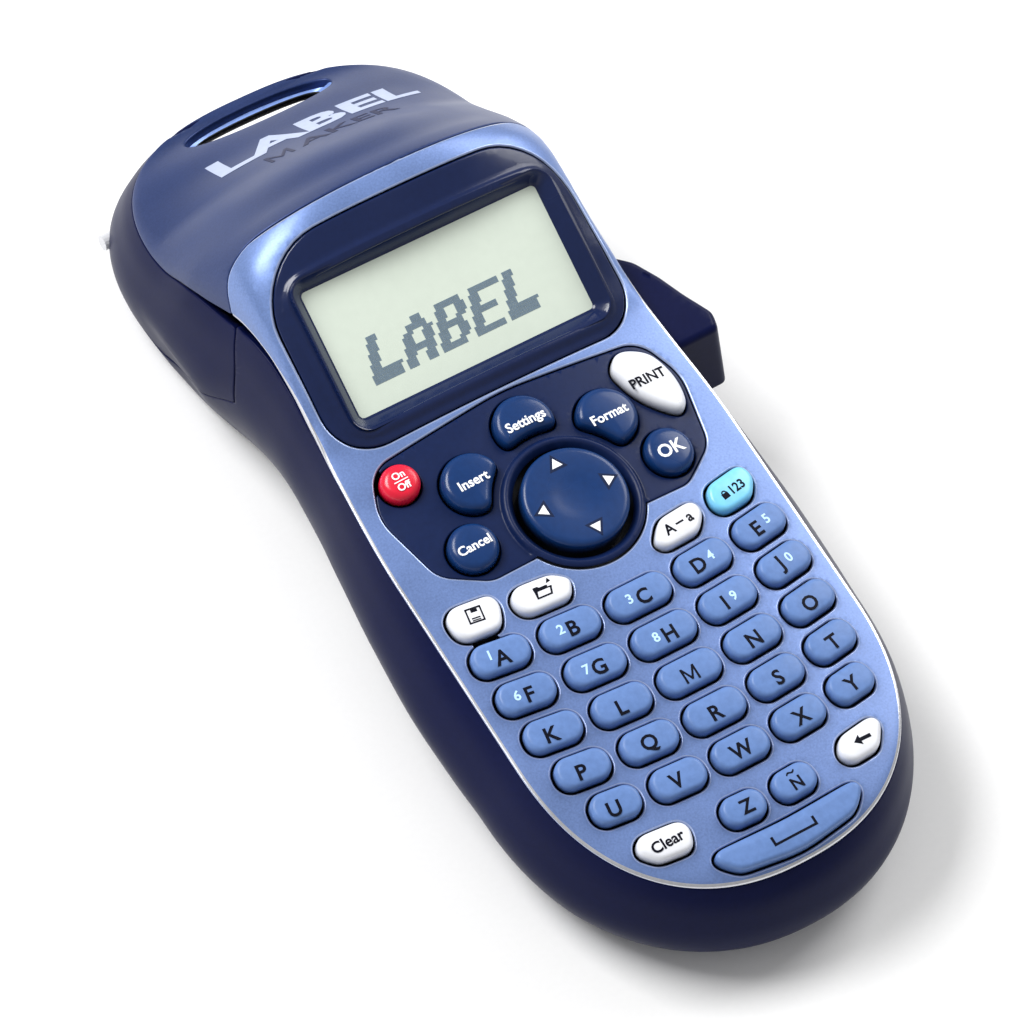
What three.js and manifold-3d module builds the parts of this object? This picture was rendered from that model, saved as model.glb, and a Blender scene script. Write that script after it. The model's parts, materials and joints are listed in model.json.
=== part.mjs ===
// Hand-held label maker: a thumb keypad, a display and a cursor pad in a metallic face plate on a navy tub,
// a hinged tape bay hood with the label exit slot, and a cutter lever on the right side.
// Lengths are millimetres. The shapes are drawn in the deck frame: its origin is the middle of the letter
// block on the keypad surface, X to the right, Y toward the head and Z out of the keypad. One outer group
// then lays the object on its back, as it rests on a table.
import * as THREE from "three";
import { mergeVertices } from "three/addons/utils/BufferGeometryUtils.js";
import Module from "manifold-3d";

const wasm = await Module();
wasm.setup();

// ---- driving dimensions ----
const GAP = 0.3; // clearance between neighbouring pieces
const REST_TILT = THREE.MathUtils.degToRad(6); // the deck's slope when the object lies on its back
const DECK_ORIGIN = [-2.736, -53.543, 28.5]; // the deck frame's origin in the object's own frame
const WALL = 2.2; // side wall and back wall
const PLATE = 3.0; // face plate thickness
const CROWN = 0.00155; // the face drops by CROWN * x * x to each side

const RIM_HALF = 36.3; // half width of the metallic face along the keypad
const TAIL_RIM = 39.4; // the face's rounded end below the deck origin
const TAIL_BELLY = 46.8; // the tub's rounded end below the deck origin
const BELLY_HALF = 41; // widest half width of the tub beside the letter block
const HEAD_SPINE = 112; // centre of the head's rounded end
const HEAD_RIM = [35.6, 36.1]; // half width and length of the hood's end at the paint line
const HEAD_BELLY = [38.9, 38]; // the same at the widest level
const RIM_POWER = 2.3; // roundness of the tail at the paint line, of the tub's tail and of the head
const BELLY_POWER = 2.15;
const HEAD_POWER = 2.9;

const KEY_FOOT = -3.6; // underside of the key bodies
const KEY_HEIGHT = 1.8; // key tops above the face
const KEY_CLEARANCE = 0.45;
const ROW_PITCH = 8.4;
const COLUMN_X = [-27.7, -14.2, 0, 14.2, 27.7];
const KEY_DEPTH = 6.2; // key size along the deck
const SMILE = 2.1 / (27.6 * 27.6); // the rows curve up toward both sides

const NAV = { y: 38.4, ring: 13.2, disc: 10.3 }; // cursor pad centre, ring and disc radii
const LCD_TILT = THREE.MathUtils.degToRad(19.4); // the display's slope above the keypad
const LCD_FOOT = 65.4; // where the slope starts

const PIN = { y: 137.5, z: -35.5, radius: 1.5, half: 35.4 }; // hood hinge
const LEVER_PIVOT = { x: 28.7, y: 88 };
const PLATEN = { y: 134, z: -26.2, radius: 3.8 };
const SLOT = { y: 142.4, z: -22, width: 26, depth: 4.6 }; // label exit slot in the hood
const MODULE = 0.6; // gear module of the tape drive
const PLATEN_TEETH = 18;
const PINION_TEETH = 9;

const COLOURS = {
  metal: [0x7f97d2, 0.38, 0.35],
  hood: [0x55679d, 0.35, 0.4],
  navy: [0x16264f, 0.35, 0],
  panel: [0x203560, 0.4, 0],
  control: [0x1d437a, 0.35, 0],
  key: [0x5f8bce, 0.45, 0],
  white: [0xebebee, 0.4, 0],
  cyan: [0x82cdeb, 0.4, 0],
  red: [0xcd1932, 0.35, 0],
  glass: [0xdde7dc, 0.2, 0],
  steel: [0xb4b8bc, 0.3, 0.9],
  rubber: [0x26282b, 0.85, 0],
  board: [0x1f6b45, 0.6, 0],
  cell: [0xa88a45, 0.4, 0.3],
  cassette: [0xc9ccd2, 0.5, 0],
};

// ---- lines through listed points ----
function curveThrough(points) {
  return (at) => {
    const last = points.length - 1;
    const x = Math.min(Math.max(at, points[0][0]), points[last][0]);
    let i = 0;
    while (i < last - 1 && x > points[i + 1][0]) i += 1;
    const [x0, y0] = points[i];
    const [x1, y1] = points[i + 1];
    return y0 + ((y1 - y0) * (x - x0)) / (x1 - x0);
  };
}

// Side view of the top along the centre line, of the paint line, and of the back.
const SEAM_TOP = [107, 14.7];
const topLine = curveThrough([
  [LCD_FOOT, 0], SEAM_TOP, [112, 9.4], [119, 4.1], [123, -0.2], [132, -9], [139, -14.2], [143.6, -19.6],
  [147, -25.2],
]);
const rimLine = curveThrough([
  [62, -2.6], [73, -2.5], [80, -1.7], [87, -1.7], [92, -2.4], [96, -3.9], [101.7, -6.6], [112, -10.8],
  [119, -15.9], [132, -21], [139, -23.1], [147, -25.2],
]);
const restPlane = (y) => -DECK_ORIGIN[2] / Math.cos(REST_TILT) - y * Math.tan(REST_TILT);
const HANDLE_BACK = -26.2;
const floorLine = (y) => {
  const blend = THREE.MathUtils.smoothstep(y, 71, 102);
  const handle = Math.max(HANDLE_BACK, restPlane(y));
  return handle + (restPlane(y) - handle) * blend;
};
const bellyLine = curveThrough([
  [0, BELLY_HALF], [8, 41.6], [20, 42.1], [36, 40.8], [52, 38.7], [65.4, 36.9], [73, 36.6], [80, 36.5],
  [92, 37.1], [101.7, 38.5], [112, HEAD_BELLY[0]],
]);
const rimHalf = curveThrough([
  [0, RIM_HALF], [40, RIM_HALF], [62, 35], [73, 34.1], [87, 33.5], [96, 33.8], [HEAD_SPINE, HEAD_RIM[0]],
]);
// How squarely the top turns down into the sides: squarer beside the display, rounder on the hood.
const shoulderPower = curveThrough([[55, 3.2], [66, 4.6], [97, 4.6], [108, 2.6], [124, 1.6]]);

// ---- solids from closed geometry, and back ----
function toSolid(geometry) {
  const bare = geometry.clone();
  for (const name of Object.keys(bare.attributes)) {
    if (name !== "position") bare.deleteAttribute(name);
  }
  const merged = mergeVertices(bare, 1e-4);
  const triVerts = new Uint32Array(merged.index.array);
  const vertProperties = new Float32Array(merged.attributes.position.array);
  return new wasm.Manifold(new wasm.Mesh({ numProp: 3, vertProperties, triVerts }));
}

function toGeometry(solid) {
  const mesh = solid.getMesh();
  const geometry = new THREE.BufferGeometry();
  geometry.setAttribute("position", new THREE.BufferAttribute(new Float32Array(mesh.vertProperties), 3));
  geometry.setIndex(new THREE.BufferAttribute(new Uint32Array(mesh.triVerts), 1));
  geometry.computeVertexNormals();
  return geometry;
}

// The triangles between rings of equal point count, from the lowest ring to the highest.
function wallIndex(rings) {
  const count = rings[0].length;
  const index = [];
  for (let ring = 0; ring < rings.length - 1; ring += 1) {
    for (let i = 0; i < count; i += 1) {
      const a = ring * count + i;
      const b = ring * count + ((i + 1) % count);
      index.push(a, b, b + count, a, b + count, a + count);
    }
  }
  return index;
}

function sheet(rings, index) {
  const geometry = new THREE.BufferGeometry();
  geometry.setAttribute("position", new THREE.Float32BufferAttribute(rings.flat(2), 3));
  geometry.setIndex(index);
  return geometry;
}

// A closed skin through the rings, with flat ends.
function skin(rings) {
  const count = rings[0].length;
  const index = wallIndex(rings);
  const cap = (ring, flip) => {
    const flat = rings[ring].map(([x, y]) => new THREE.Vector2(x, y));
    for (const [a, b, c] of THREE.ShapeUtils.triangulateShape(flat, [])) {
      const corner = [a, b, c].map((i) => i + ring * count);
      index.push(...(flip ? corner.reverse() : corner));
    }
  };
  cap(0, true);
  cap(rings.length - 1, false);
  return sheet(rings, index);
}

// ---- outlines in the deck plane ----
// A polygon whose corners [x, y, radius] are rounded, counter-clockwise.
function rounded(corners, steps = 2) {
  const outline = [];
  corners.forEach(([x, y, radius], i) => {
    const at = new THREE.Vector2(x, y);
    const before = corners[(i + corners.length - 1) % corners.length];
    const after = corners[(i + 1) % corners.length];
    const toBefore = new THREE.Vector2(before[0], before[1]).sub(at).normalize();
    const toAfter = new THREE.Vector2(after[0], after[1]).sub(at).normalize();
    const half = Math.acos(toBefore.dot(toAfter)) / 2;
    const centre = toBefore.clone().add(toAfter).normalize().multiplyScalar(radius / Math.sin(half)).add(at);
    const start = toBefore.clone().multiplyScalar(radius / Math.tan(half)).add(at).sub(centre);
    const sweep = (Math.PI - 2 * half) * -Math.sign(toBefore.cross(toAfter));
    for (let k = 0; k <= steps; k += 1) {
      const spoke = start.clone().rotateAround(new THREE.Vector2(), (sweep * k) / steps);
      outline.push([centre.x + spoke.x, centre.y + spoke.y]);
    }
  });
  return outline;
}

const roundedBox = (width, depth, radius, steps) => rounded([
  [-width / 2, -depth / 2, radius], [width / 2, -depth / 2, radius],
  [width / 2, depth / 2, radius], [-width / 2, depth / 2, radius],
], steps);

function circle(radius, steps = 20, x = 0, y = 0) {
  return Array.from({ length: steps }, (_, i) => {
    const angle = (2 * Math.PI * i) / steps;
    return [x + radius * Math.cos(angle), y + radius * Math.sin(angle)];
  });
}

// The outline moved outward by distance, or inward where it is negative.
function grown(outline, distance) {
  return outline.map(([x, y], i) => {
    const before = outline[(i + outline.length - 1) % outline.length];
    const after = outline[(i + 1) % outline.length];
    const along = new THREE.Vector2(after[0] - before[0], after[1] - before[1]).normalize();
    return [x + along.y * distance, y - along.x * distance];
  });
}

// ---- prisms ----
const deckPrism = (outline, low = -60, high = 60) => toSolid(skin([
  outline.map(([x, y]) => [x, y, low]), outline.map(([x, y]) => [x, y, high]),
]));

// A side view outline of [y, z] points, counter-clockwise seen from +X, carried across from x0 to x1.
const sidePrism = (outline, x0 = -60, x1 = 60) => {
  const geometry = skin([
    outline.map(([y, z]) => [y, z, x0]), outline.map(([y, z]) => [y, z, x1]),
  ]);
  const turn = new THREE.Matrix4().makeBasis(
    new THREE.Vector3(0, 1, 0), new THREE.Vector3(0, 0, 1), new THREE.Vector3(1, 0, 0),
  );
  return toSolid(geometry.applyMatrix4(turn));
};

const box = (x0, x1, y0, y1, z0, z1) => deckPrism([[x0, y0], [x1, y0], [x1, y1], [x0, y1]], z0, z1);
const crossBar = (radius, x0, x1, y, z, steps = 20) => sidePrism(circle(radius, steps, y, z), x0, x1);

// ---- the outer form ----
// Each station pairs a point of the paint line's plan with one of the widest plan, and a point of the spine.
const END_STEPS = 8; // steps in each quarter of the rounded ends

function stations() {
  const half = [];
  const round = (angle, power) => Math.sign(angle) * Math.abs(angle) ** (2 / power);
  for (let k = 0; k < END_STEPS; k += 1) {
    const angle = (Math.PI / 2) * (k / END_STEPS - 1);
    const [c, s] = [Math.cos(angle), Math.sin(angle)];
    half.push({
      spine: 0,
      rim: [RIM_HALF * round(c, RIM_POWER), TAIL_RIM * round(s, RIM_POWER)],
      belly: [BELLY_HALF * round(c, BELLY_POWER), TAIL_BELLY * round(s, BELLY_POWER)],
    });
  }
  for (const y of [0, 18, 36, 52, LCD_FOOT, 73, 80, 87, 92, 96, 101.7, SEAM_TOP[0], HEAD_SPINE]) {
    half.push({ spine: y, rim: [rimHalf(y), y], belly: [bellyLine(y), y] });
  }
  for (let k = 1; k <= END_STEPS; k += 1) {
    const angle = (Math.PI / 2) * (k / END_STEPS);
    const [c, s] = [Math.max(Math.cos(angle), 0), Math.sin(angle)];
    half.push({
      spine: HEAD_SPINE,
      rim: [HEAD_RIM[0] * round(c, HEAD_POWER), HEAD_SPINE + HEAD_RIM[1] * round(s, HEAD_POWER)],
      belly: [HEAD_BELLY[0] * round(c, HEAD_POWER), HEAD_SPINE + HEAD_BELLY[1] * round(s, HEAD_POWER)],
    });
  }
  half[0].rim[0] = 0;
  half[0].belly[0] = 0;
  const mirror = ({ spine, rim, belly }) => ({ spine, rim: [-rim[0], rim[1]], belly: [-belly[0], belly[1]] });
  return [...half, ...half.slice(1, -1).reverse().map(mirror)];
}

const STATIONS = stations();
const TOP_RINGS = [1, 0.93, 0.8, 0.58, 0.195]; // shares of the way from spine to paint line
const BACK_RING = 0.55; // the same on the back
const SIDE_RINGS = [ // how far out to the widest plan, and how far down from paint line to back
  [0.4, 0.14], [0.7, 0.3], [0.94, 0.46], [1, 0.58], [0.86, 0.72], [0.45, 0.86], [0.1, 0.95], [-0.15, 1],
];

function topHeight(x, y, share) {
  const shoulder = topLine(y) - CROWN * x * x - rimLine(y);
  const power = shoulderPower(y);
  const round = 1 - Math.max(1 - share ** power, 0) ** (1 / power);
  return topLine(y) - CROWN * x * x - Math.max(shoulder, 0) * round;
}

function inward([x, y], spine, inset) {
  const length = Math.hypot(x, y - spine);
  const share = (length - inset) / length;
  return [x * share, spine + (y - spine) * share];
}

// The whole outer form, drawn in by inset on sides and back and lowered by drop on top.
function form(inset, drop) {
  const rings = [];
  const back = (x, y) => [x, y, floorLine(y) + inset];
  rings.push(STATIONS.map(({ spine }) => back(0, spine)));
  rings.push(STATIONS.map(({ spine, rim }) => {
    const [x, y] = inward(rim, spine, inset);
    return back(x * BACK_RING, spine + (y - spine) * BACK_RING);
  }));
  for (const [out, down] of [...SIDE_RINGS].reverse()) {
    rings.push(STATIONS.map(({ spine, rim, belly }) => {
      const [rx, ry] = inward(rim, spine, inset);
      const [bx, by] = inward(belly, spine, inset);
      const [x, y] = [rx + (bx - rx) * out, ry + (by - ry) * out];
      const top = rimLine(rim[1]) - drop;
      const foot = floorLine(y) + inset;
      return [x, y, top + (foot - top) * down];
    }));
  }
  for (const share of TOP_RINGS) {
    rings.push(STATIONS.map(({ spine, rim }) => {
      const [rx, ry] = inward(rim, spine, inset);
      const [x, y] = [rx * share, spine + (ry - spine) * share];
      return [x, y, topHeight(x, y, share) - drop];
    }));
  }
  rings.push(STATIONS.map(({ spine }) => [0, spine, topHeight(0, spine, 0) - drop]));
  return toSolid(dropSlivers(sheet(rings, wallIndex(rings))));
}

// Merging the spine's doubled points leaves triangles with two equal corners: they are left out.
function dropSlivers(geometry) {
  const merged = mergeVertices(geometry, 1e-4);
  const kept = [];
  const index = merged.index.array;
  for (let i = 0; i < index.length; i += 3) {
    const [a, b, c] = [index[i], index[i + 1], index[i + 2]];
    if (a !== b && b !== c && c !== a) kept.push(a, b, c);
  }
  merged.setIndex(kept);
  return merged;
}

const OUTER = form(0, 0);
const INNER = form(WALL, PLATE);
const SHELL = OUTER.subtract(INNER);
const slab = (top, bottom) => form(0, top).subtract(form(0, bottom)); // a layer of the face between depths

// ---- where the shells part ----
// The hood's edge in side view: down the seam behind the display, then along the tub's upper edge to the end.
const SEAM = [
  [107, 40], SEAM_TOP, [107.3, 8], [105.7, 4.3], [103.2, 1.3], [98.1, -5.6], [94.4, -11], [90.8, -19],
  [99.6, -28.5], [107.5, -33.6], [115.7, -36.2], [133, -36.5], [145, -36.5], [152, -30],
];
const hoodZone = (gap) => sidePrism([
  [160, -30], [160, 40], ...SEAM.map(([y, z], i) => {
    const [y0, z0] = SEAM[Math.max(i - 1, 0)];
    const [y1, z1] = SEAM[Math.min(i + 1, SEAM.length - 1)];
    const length = Math.hypot(y1 - y0, z1 - z0);
    return [y - ((z1 - z0) / length) * gap, z + ((y1 - y0) / length) * gap];
  }),
]);
const HOOD_ZONE = hoodZone(0);
const HOOD_INSIDE = hoodZone(GAP);

// The face plate and the hood's cover lie above the paint line and inside the rim's plan.
const rimPlan = (inset) => STATIONS.map(({ rim, spine }) => inward(rim, spine, inset));
const rimCut = (lower) => {
  const line = [-60, 62, 73, 80, 87, 92, 96, 101.7, 112, 119, 132, 139, 147, 160];
  const above = sidePrism([[160, 60], [-60, 60], ...line.map((y) => [y, rimLine(y) - lower])]);
  const core = deckPrism(rimPlan(2.9 - lower)).intersect(
    sidePrism([[160, 60], [-60, 60], [-60, restPlane(-60) + 15], [160, restPlane(160) + 15]]),
  );
  return above.add(core);
};
const COVER_ZONE = rimCut(0);
const COVER_ZONE_GROWN = rimCut(GAP);

// ---- keys ----
const crownAt = (x) => -CROWN * x * x;

function key(width, depth, radius, height = KEY_HEIGHT) {
  return { outline: roundedBox(width, depth, radius), height };
}

// Each row bends up toward both sides, and each key turns with its row.
function onRow(x, rowY) {
  return { x, y: rowY + SMILE * x * x, turn: Math.atan(2 * SMILE * x) };
}

// Key widths from the top row down: in the middle column, beside it, and at the sides.
const KEY_WIDTHS = [
  [12.7, 12.7, 12.4, 12, 11.2],
  [11.5, 11.5, 11.3, 11, 10.6],
  [11, 11, 10.8, 10.3, 9.4],
];

function letterKeys() {
  const keys = [];
  const rows = ["abcde", "fghij", "klmno", "pqrst", "uvwxy"];
  rows.forEach((letters, row) => {
    const rowY = ROW_PITCH * (2 - row);
    const squeeze = 1 - 0.08 * ((19 - rowY) / 34) ** 3;
    [...letters].forEach((letter, column) => {
      const x = COLUMN_X[column] * squeeze;
      const width = KEY_WIDTHS[Math.abs(column - 2)][row];
      keys.push({ name: `key_${letter}`, ...key(width, KEY_DEPTH, 2.8), ...onRow(x, rowY) });
    });
  });
  return keys;
}

const SPACE_OUTLINE = rounded([
  [-12.2, -36.4, 2], [0, -38.1, 30], [12.2, -36.4, 2], [17.8, -30.9, 1.4], [0, -31.6, 90],
  [-17.8, -30.9, 1.4],
]);

// A key of its own outline, given by its corners on the face.
function shapedKey(name, x, y, colour, corners) {
  const outline = rounded(corners.map(([cx, cy, radius]) => [cx - x, cy - y, radius]));
  return { name, colour, x, y, turn: 0, height: KEY_HEIGHT, outline };
}

const KEYS = [
  ...letterKeys(),
  { name: "key_z", ...key(8.6, 5.9, 2.7), x: -5.7, y: -26.5, turn: -0.05 },
  { name: "key_n_tilde", ...key(8.6, 5.9, 2.7), x: 5.1, y: -26.5, turn: 0.05 },
  { name: "key_space", outline: SPACE_OUTLINE, height: 1.5, x: 0, y: 0, turn: 0 },
  shapedKey("key_save", -27.9, 27.2, "white", [
    [-32.7, 24.1, 3], [-24.5, 23.1, 1.8], [-22.6, 27.4, 1.6], [-23.3, 29.9, 1.3], [-33, 31.3, 2.6],
  ]),
  shapedKey("key_recall", -14.9, 25.5, "white", [
    [-20.8, 22.8, 3], [-10.7, 22, 1.5], [-8.9, 25.5, 0.9], [-12, 28, 2.2], [-20.9, 29, 2.6],
  ]),
  shapedKey("key_caps", 14.3, 25.5, "white", [
    [9.4, 22.1, 1.6], [16.9, 22.5, 2], [19.7, 25.6, 2.2], [19.4, 28.8, 1.8], [11.2, 28, 2.6], [7.9, 24.2, 1],
  ]),
  shapedKey("key_numlock", 27.1, 27.3, "cyan", [
    [22.4, 23.3, 2.4], [29.8, 24.2, 2.2], [32.3, 27.6, 2.2], [31.6, 31.2, 1.8], [22.6, 29.7, 2.4],
    [21.7, 26.4, 2],
  ]),
  shapedKey("key_clear", -21.3, -25.2, "white", [
    [-24, -28, 1.6], [-17.4, -28.9, 1.4], [-16, -25.4, 1.2], [-16.6, -22.9, 2], [-25.6, -21.9, 2.2],
    [-26.9, -24.9, 1.2],
  ]),
  shapedKey("key_backspace", 20.4, -25, "white", [
    [16, -28.7, 2.4], [22.8, -28.1, 1.8], [25.9, -24, 1.1], [25, -21.9, 1.6], [16.8, -23, 2.8],
    [15, -25.9, 1.6],
  ]),
];

// ---- control panel buttons ----
// A round button whose side toward the cursor pad follows the pad's ring.
function bittenCircle(x, y, radius) {
  const ring = NAV.ring + 1.9;
  return circle(radius, 18).map(([dx, dy]) => {
    const from = new THREE.Vector2(x + dx, y + dy - NAV.y);
    if (from.length() < ring) from.setLength(ring);
    return [from.x - x, from.y + NAV.y - y];
  });
}

const PRINT_LEAF = new THREE.CatmullRomCurve3([
  [20.4, 57.6], [22.6, 59.9], [25.6, 59.6], [28.9, 57], [30.4, 51.8], [29.8, 46.8], [27.7, 44.9], [24.8, 47],
  [22, 50.8], [20.6, 54.6],
].map(([x, y]) => new THREE.Vector3(x - 25.5, y - 52, 0)).reverse(), true).getPoints(20).slice(0, 20)
  .map(({ x, y }) => [x, y]);

const BUTTONS = [
  { name: "button_on_off", outline: circle(3.75, 16), colour: "red", x: -25.8, y: 56.1 },
  { name: "button_insert", outline: bittenCircle(-14.4, 49.9, 5.9), x: -14.4, y: 49.9 },
  { name: "button_settings", outline: bittenCircle(0, 55.4, 5.9), x: 0, y: 55.4 },
  { name: "button_format", outline: bittenCircle(14.4, 49.9, 5.9), x: 14.4, y: 49.9 },
  { name: "button_cancel", outline: circle(4.7, 16), x: -21, y: 39 },
  { name: "button_ok", outline: circle(4.7, 16), x: 21, y: 39 },
  { name: "button_print", outline: PRINT_LEAF, colour: "white", x: 25.5, y: 52 },
].map((button) => ({ turn: 0, height: KEY_HEIGHT, colour: "control", ...button }));

function placed(outline, { x, y, turn }) {
  const at = new THREE.Vector2();
  return outline.map(([px, py]) => {
    at.set(px, py).rotateAround(new THREE.Vector2(), turn);
    return [at.x + x, at.y + y];
  });
}

const shrunk = (outline, share) => {
  const middle = outline.reduce(([sx, sy], [x, y]) => [sx + x, sy + y], [0, 0]).map((v) => v / outline.length);
  return outline.map(([x, y]) => [middle[0] + (x - middle[0]) * share, middle[1] + (y - middle[1]) * share]);
};

// A cap with straight sides and a chamfered top that leans with the face's crown.
function capGeometry({ outline, height, x, turn }) {
  const lean = -2 * CROWN * x * Math.cos(turn);
  const level = (points, z, tilt) => points.map(([px, py]) => [px, py, z + tilt * px * lean]);
  const base = crownAt(x);
  return skin([
    level(outline, KEY_FOOT - base, 0),
    level(outline, height - 0.8, 1),
    level(shrunk(outline, 0.84), height, 1),
  ]);
}

function capMesh(name, cap, colour) {
  const mesh = meshOf(name, capGeometry(cap), colour);
  mesh.position.set(cap.x, cap.y, crownAt(cap.x));
  mesh.rotation.z = cap.turn;
  return mesh;
}

const holeFor = (cap) => deckPrism(placed(grown(cap.outline, KEY_CLEARANCE), cap), -12, 30);
const united = (solids) => solids.reduce((sum, next) => sum.add(next));

// ---- face openings ----
const PANEL = rounded([
  [-21, 32.2, 5], [21, 32.2, 5], [29, 37.5, 6], [32.3, 52, 10], [28.6, 61, 6], [0, 63.3, 60], [-28.6, 61, 6],
  [-32.3, 52, 10], [-29, 37.5, 6],
], 3);
const BEZEL = rounded([[-32.2, 64.1, 9], [32.2, 64.1, 9], [31.4, 102.6, 14], [-31.4, 102.6, 14]], 4);
const WINDOW = rounded([[-27.3, 67.4, 3.2], [27.3, 67.4, 3.2], [27.3, 95.2, 3.2], [-27.3, 95.2, 3.2]], 3);
const panelCut = (distance, low, high) => deckPrism(grown(PANEL, distance), low, high)
  .add(deckPrism(circle(NAV.ring + distance, 24, 0, NAV.y), low, high));
const SEAT = 1.5; // depth of the seats for panel and bezel
const LEDGE = 1.8; // width of the ledges they rest on

// ---- cutter lever ----
const LEVER_OUTLINE = rounded([
  [25.8, 91, 2.4], [26, 80, 2], [36, 57.6, 0.8], [45.0, 57.7, 1.2], [45.9, 61.2, 2], [43.2, 66.6, 6],
  [41, 71.9, 4], [38.4, 76.6, 4], [35.5, 79.2, 1.5], [31, 79.4, 1], [30.9, 91, 2.4],
], 2);
const LEVER = { top: -4.4, foot: -19.4, nose: [-19.4, -18.4] };
const LEVER_FLARE = { out: 2, back: 5.4, from: 80, full: 58 }; // how the finger end leans out toward its foot
const LEVER_WINDOW = [54.6, 80.4]; // the opening in the tub's right wall, along the deck
const WINDOW_FOOT = 49; // where the opening starts at its lower edge

// ---- shells ----
function frontCase() {
  const seat = form(0, SEAT + GAP);
  const openings = united([
    ...KEYS.map(holeFor),
    panelCut(GAP, -40, 40).subtract(seat),
    panelCut(-LEDGE, -12, 40),
    ...BUTTONS.map(holeFor),
    deckPrism(grown(BEZEL, GAP), -40, 60).subtract(seat),
    deckPrism(grown(BEZEL, -LEDGE), -12, 60),
    box(26, 60, LEVER_WINDOW[0], 92, -40, LEVER.top + GAP),
    toSolid(inDisplay(displayBlock(LCD_GLASS.depth - GAP, 12, GAP))),
  ]);
  return SHELL.intersect(COVER_ZONE).subtract(HOOD_ZONE).subtract(openings);
}

function controlPanel() {
  const plate = slab(0, SEAT).intersect(panelCut(0, -20, 20));
  const ring = deckPrism(circle(NAV.ring, 24, 0, NAV.y), -0.6, 0.9);
  const pad = deckPrism(circle(NAV.disc + KEY_CLEARANCE, 24, 0, NAV.y), -20, 20);
  return plate.add(ring).subtract(united([pad, ...BUTTONS.map(holeFor)]));
}

const displayBezel = () => slab(0, SEAT).intersect(deckPrism(BEZEL, -20, 60))
  .subtract(deckPrism(WINDOW, -20, 60))
  .subtract(toSolid(inDisplay(displayBlock(LCD_GLASS.depth - GAP, 12, GAP))))
  .subtract(hoodZone(-0.6));

// ---- display ----
const LCD_GLASS = { width: 55, length: 31, depth: 3, thickness: 2.4 };

// A block under the display's slope, from one depth to another, wider all round by margin.
function displayBlock(from, to, margin) {
  const outline = roundedBox(LCD_GLASS.width + 2 * margin, LCD_GLASS.length + 2 * margin, 0.8);
  return skin([outline.map(([x, y]) => [x, y, -to]), outline.map(([x, y]) => [x, y, -from])])
    .translate(0, LCD_GLASS.length / 2 + 1.1, 0);
}

const inDisplay = (geometry) => geometry.rotateX(LCD_TILT).translate(0, LCD_FOOT, 0);

function backCase() {
  const [from, to] = LEVER_WINDOW;
  const { x, y } = LEVER_PIVOT;
  const low = LEVER.foot - 0.6;
  const within = form(WALL + 0.6, PLATE);
  const post = (px, py, radius, top) => deckPrism(circle(radius, 12, px, py), floorLine(py) + 1, top);
  const bulkhead = within.intersect(box(-60, 60, 90.8, 92.8, -60, 1))
    .subtract(box(10, 60, 80, 100, LEVER.foot - 1, 10))
    .add(form(WALL - 0.5, PLATE).intersect(box(-60, 60, 90.8, 92.8, -60, -25)));
  const endWall = form(0.4, PLATE).intersect(box(-60, 60, 131.2, 133.4, -60, -36.8));
  const boss = crossBar(3.5, -23, 23, PIN.y, PIN.z).add(box(-23, 23, 131.2, 137, -39, -36.8))
    .subtract(crossBar(PIN.radius + GAP, -40, 40, PIN.y, PIN.z, 16));
  return SHELL.subtract(COVER_ZONE_GROWN).subtract(HOOD_ZONE).subtract(box(-60, 60, 133.4, 180, -60, 60))
    .subtract(sidePrism([[WINDOW_FOOT, low], [to, low], [to, 10], [from, 10], [from, LEVER.top]], 10, 60))
    .subtract(doorOpening()).subtract(holeFor(KEYS.find(({ name }) => name === "key_space")))
    .add(bulkhead).add(endWall).add(boss)
    .add(post(x, y, 3, LEVER.foot - 0.5)).add(post(x, y, 1.4, LEVER.top - 0.8))
    .add(united([[-33.5, 2], [33.5, 2], [-31.5, 50], [27, 50]].map(([px, py]) => post(px, py, 2.2, -7.6))));
}

const hoodShell = () => SHELL.intersect(HOOD_INSIDE);

function hoodCover() {
  const outline = roundedBox(SLOT.width, SLOT.depth, 2.3, 3);
  const slot = toSolid(skin([
    outline.map(([x, y]) => [x, y, -10]), outline.map(([x, y]) => [x, y, 10]),
  ]).rotateX(-REST_TILT).translate(0, SLOT.y, SLOT.z));
  return hoodShell().intersect(COVER_ZONE).subtract(slot);
}

function hoodSkirt() {
  const end = [[141.8, -36.2], [145.2, -36.2], [152, -29], [152, -26], [144.4, -34.2], [141.8, -34.2]];
  const floor = form(0.02, PLATE).intersect(sidePrism(end, -24, 24));
  const ear = (x0, x1) => crossBar(3.4, x0, x1, PIN.y, PIN.z).add(box(x0, x1, 135.2, 139.8, -35, -27))
    .intersect(OUTER);
  return hoodShell().subtract(COVER_ZONE_GROWN)
    .add(floor)
    .add(ear(27.6, 40)).add(ear(-40, -27.6))
    .subtract(crossBar(PIN.radius + GAP, -50, 50, PIN.y, PIN.z, 16));
}

// ---- battery compartment ----
const DOOR = { half: 31, from: -21, to: 36, depth: 2 };
const doorOpening = () => box(-DOOR.half - GAP, DOOR.half + GAP, DOOR.from - GAP, DOOR.to + GAP, -50, -20);

function batteryDoor() {
  const plate = OUTER.subtract(form(DOOR.depth, PLATE))
    .intersect(box(-DOOR.half, DOOR.half, DOOR.from, DOOR.to, -50, -20));
  const grip = united([0, 1, 2, 3].map((i) => box(-8, 8, -17.5 + 3 * i, -16 + 3 * i, -40, HANDLE_BACK + 0.7)));
  return plate.subtract(grip);
}

function batteries() {
  const cell = (x) => new THREE.LatheGeometry([
    [0, -25], [7.25, -25], [7.25, 24], [2.7, 24], [2.7, 25.4], [0, 25.4],
  ].map(([r, h]) => new THREE.Vector2(r, h)), 20).translate(x, 6.5, -15.7);
  return united([-21.6, -7.2, 7.2, 21.6].map((x) => toSolid(cell(x))));
}

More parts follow.
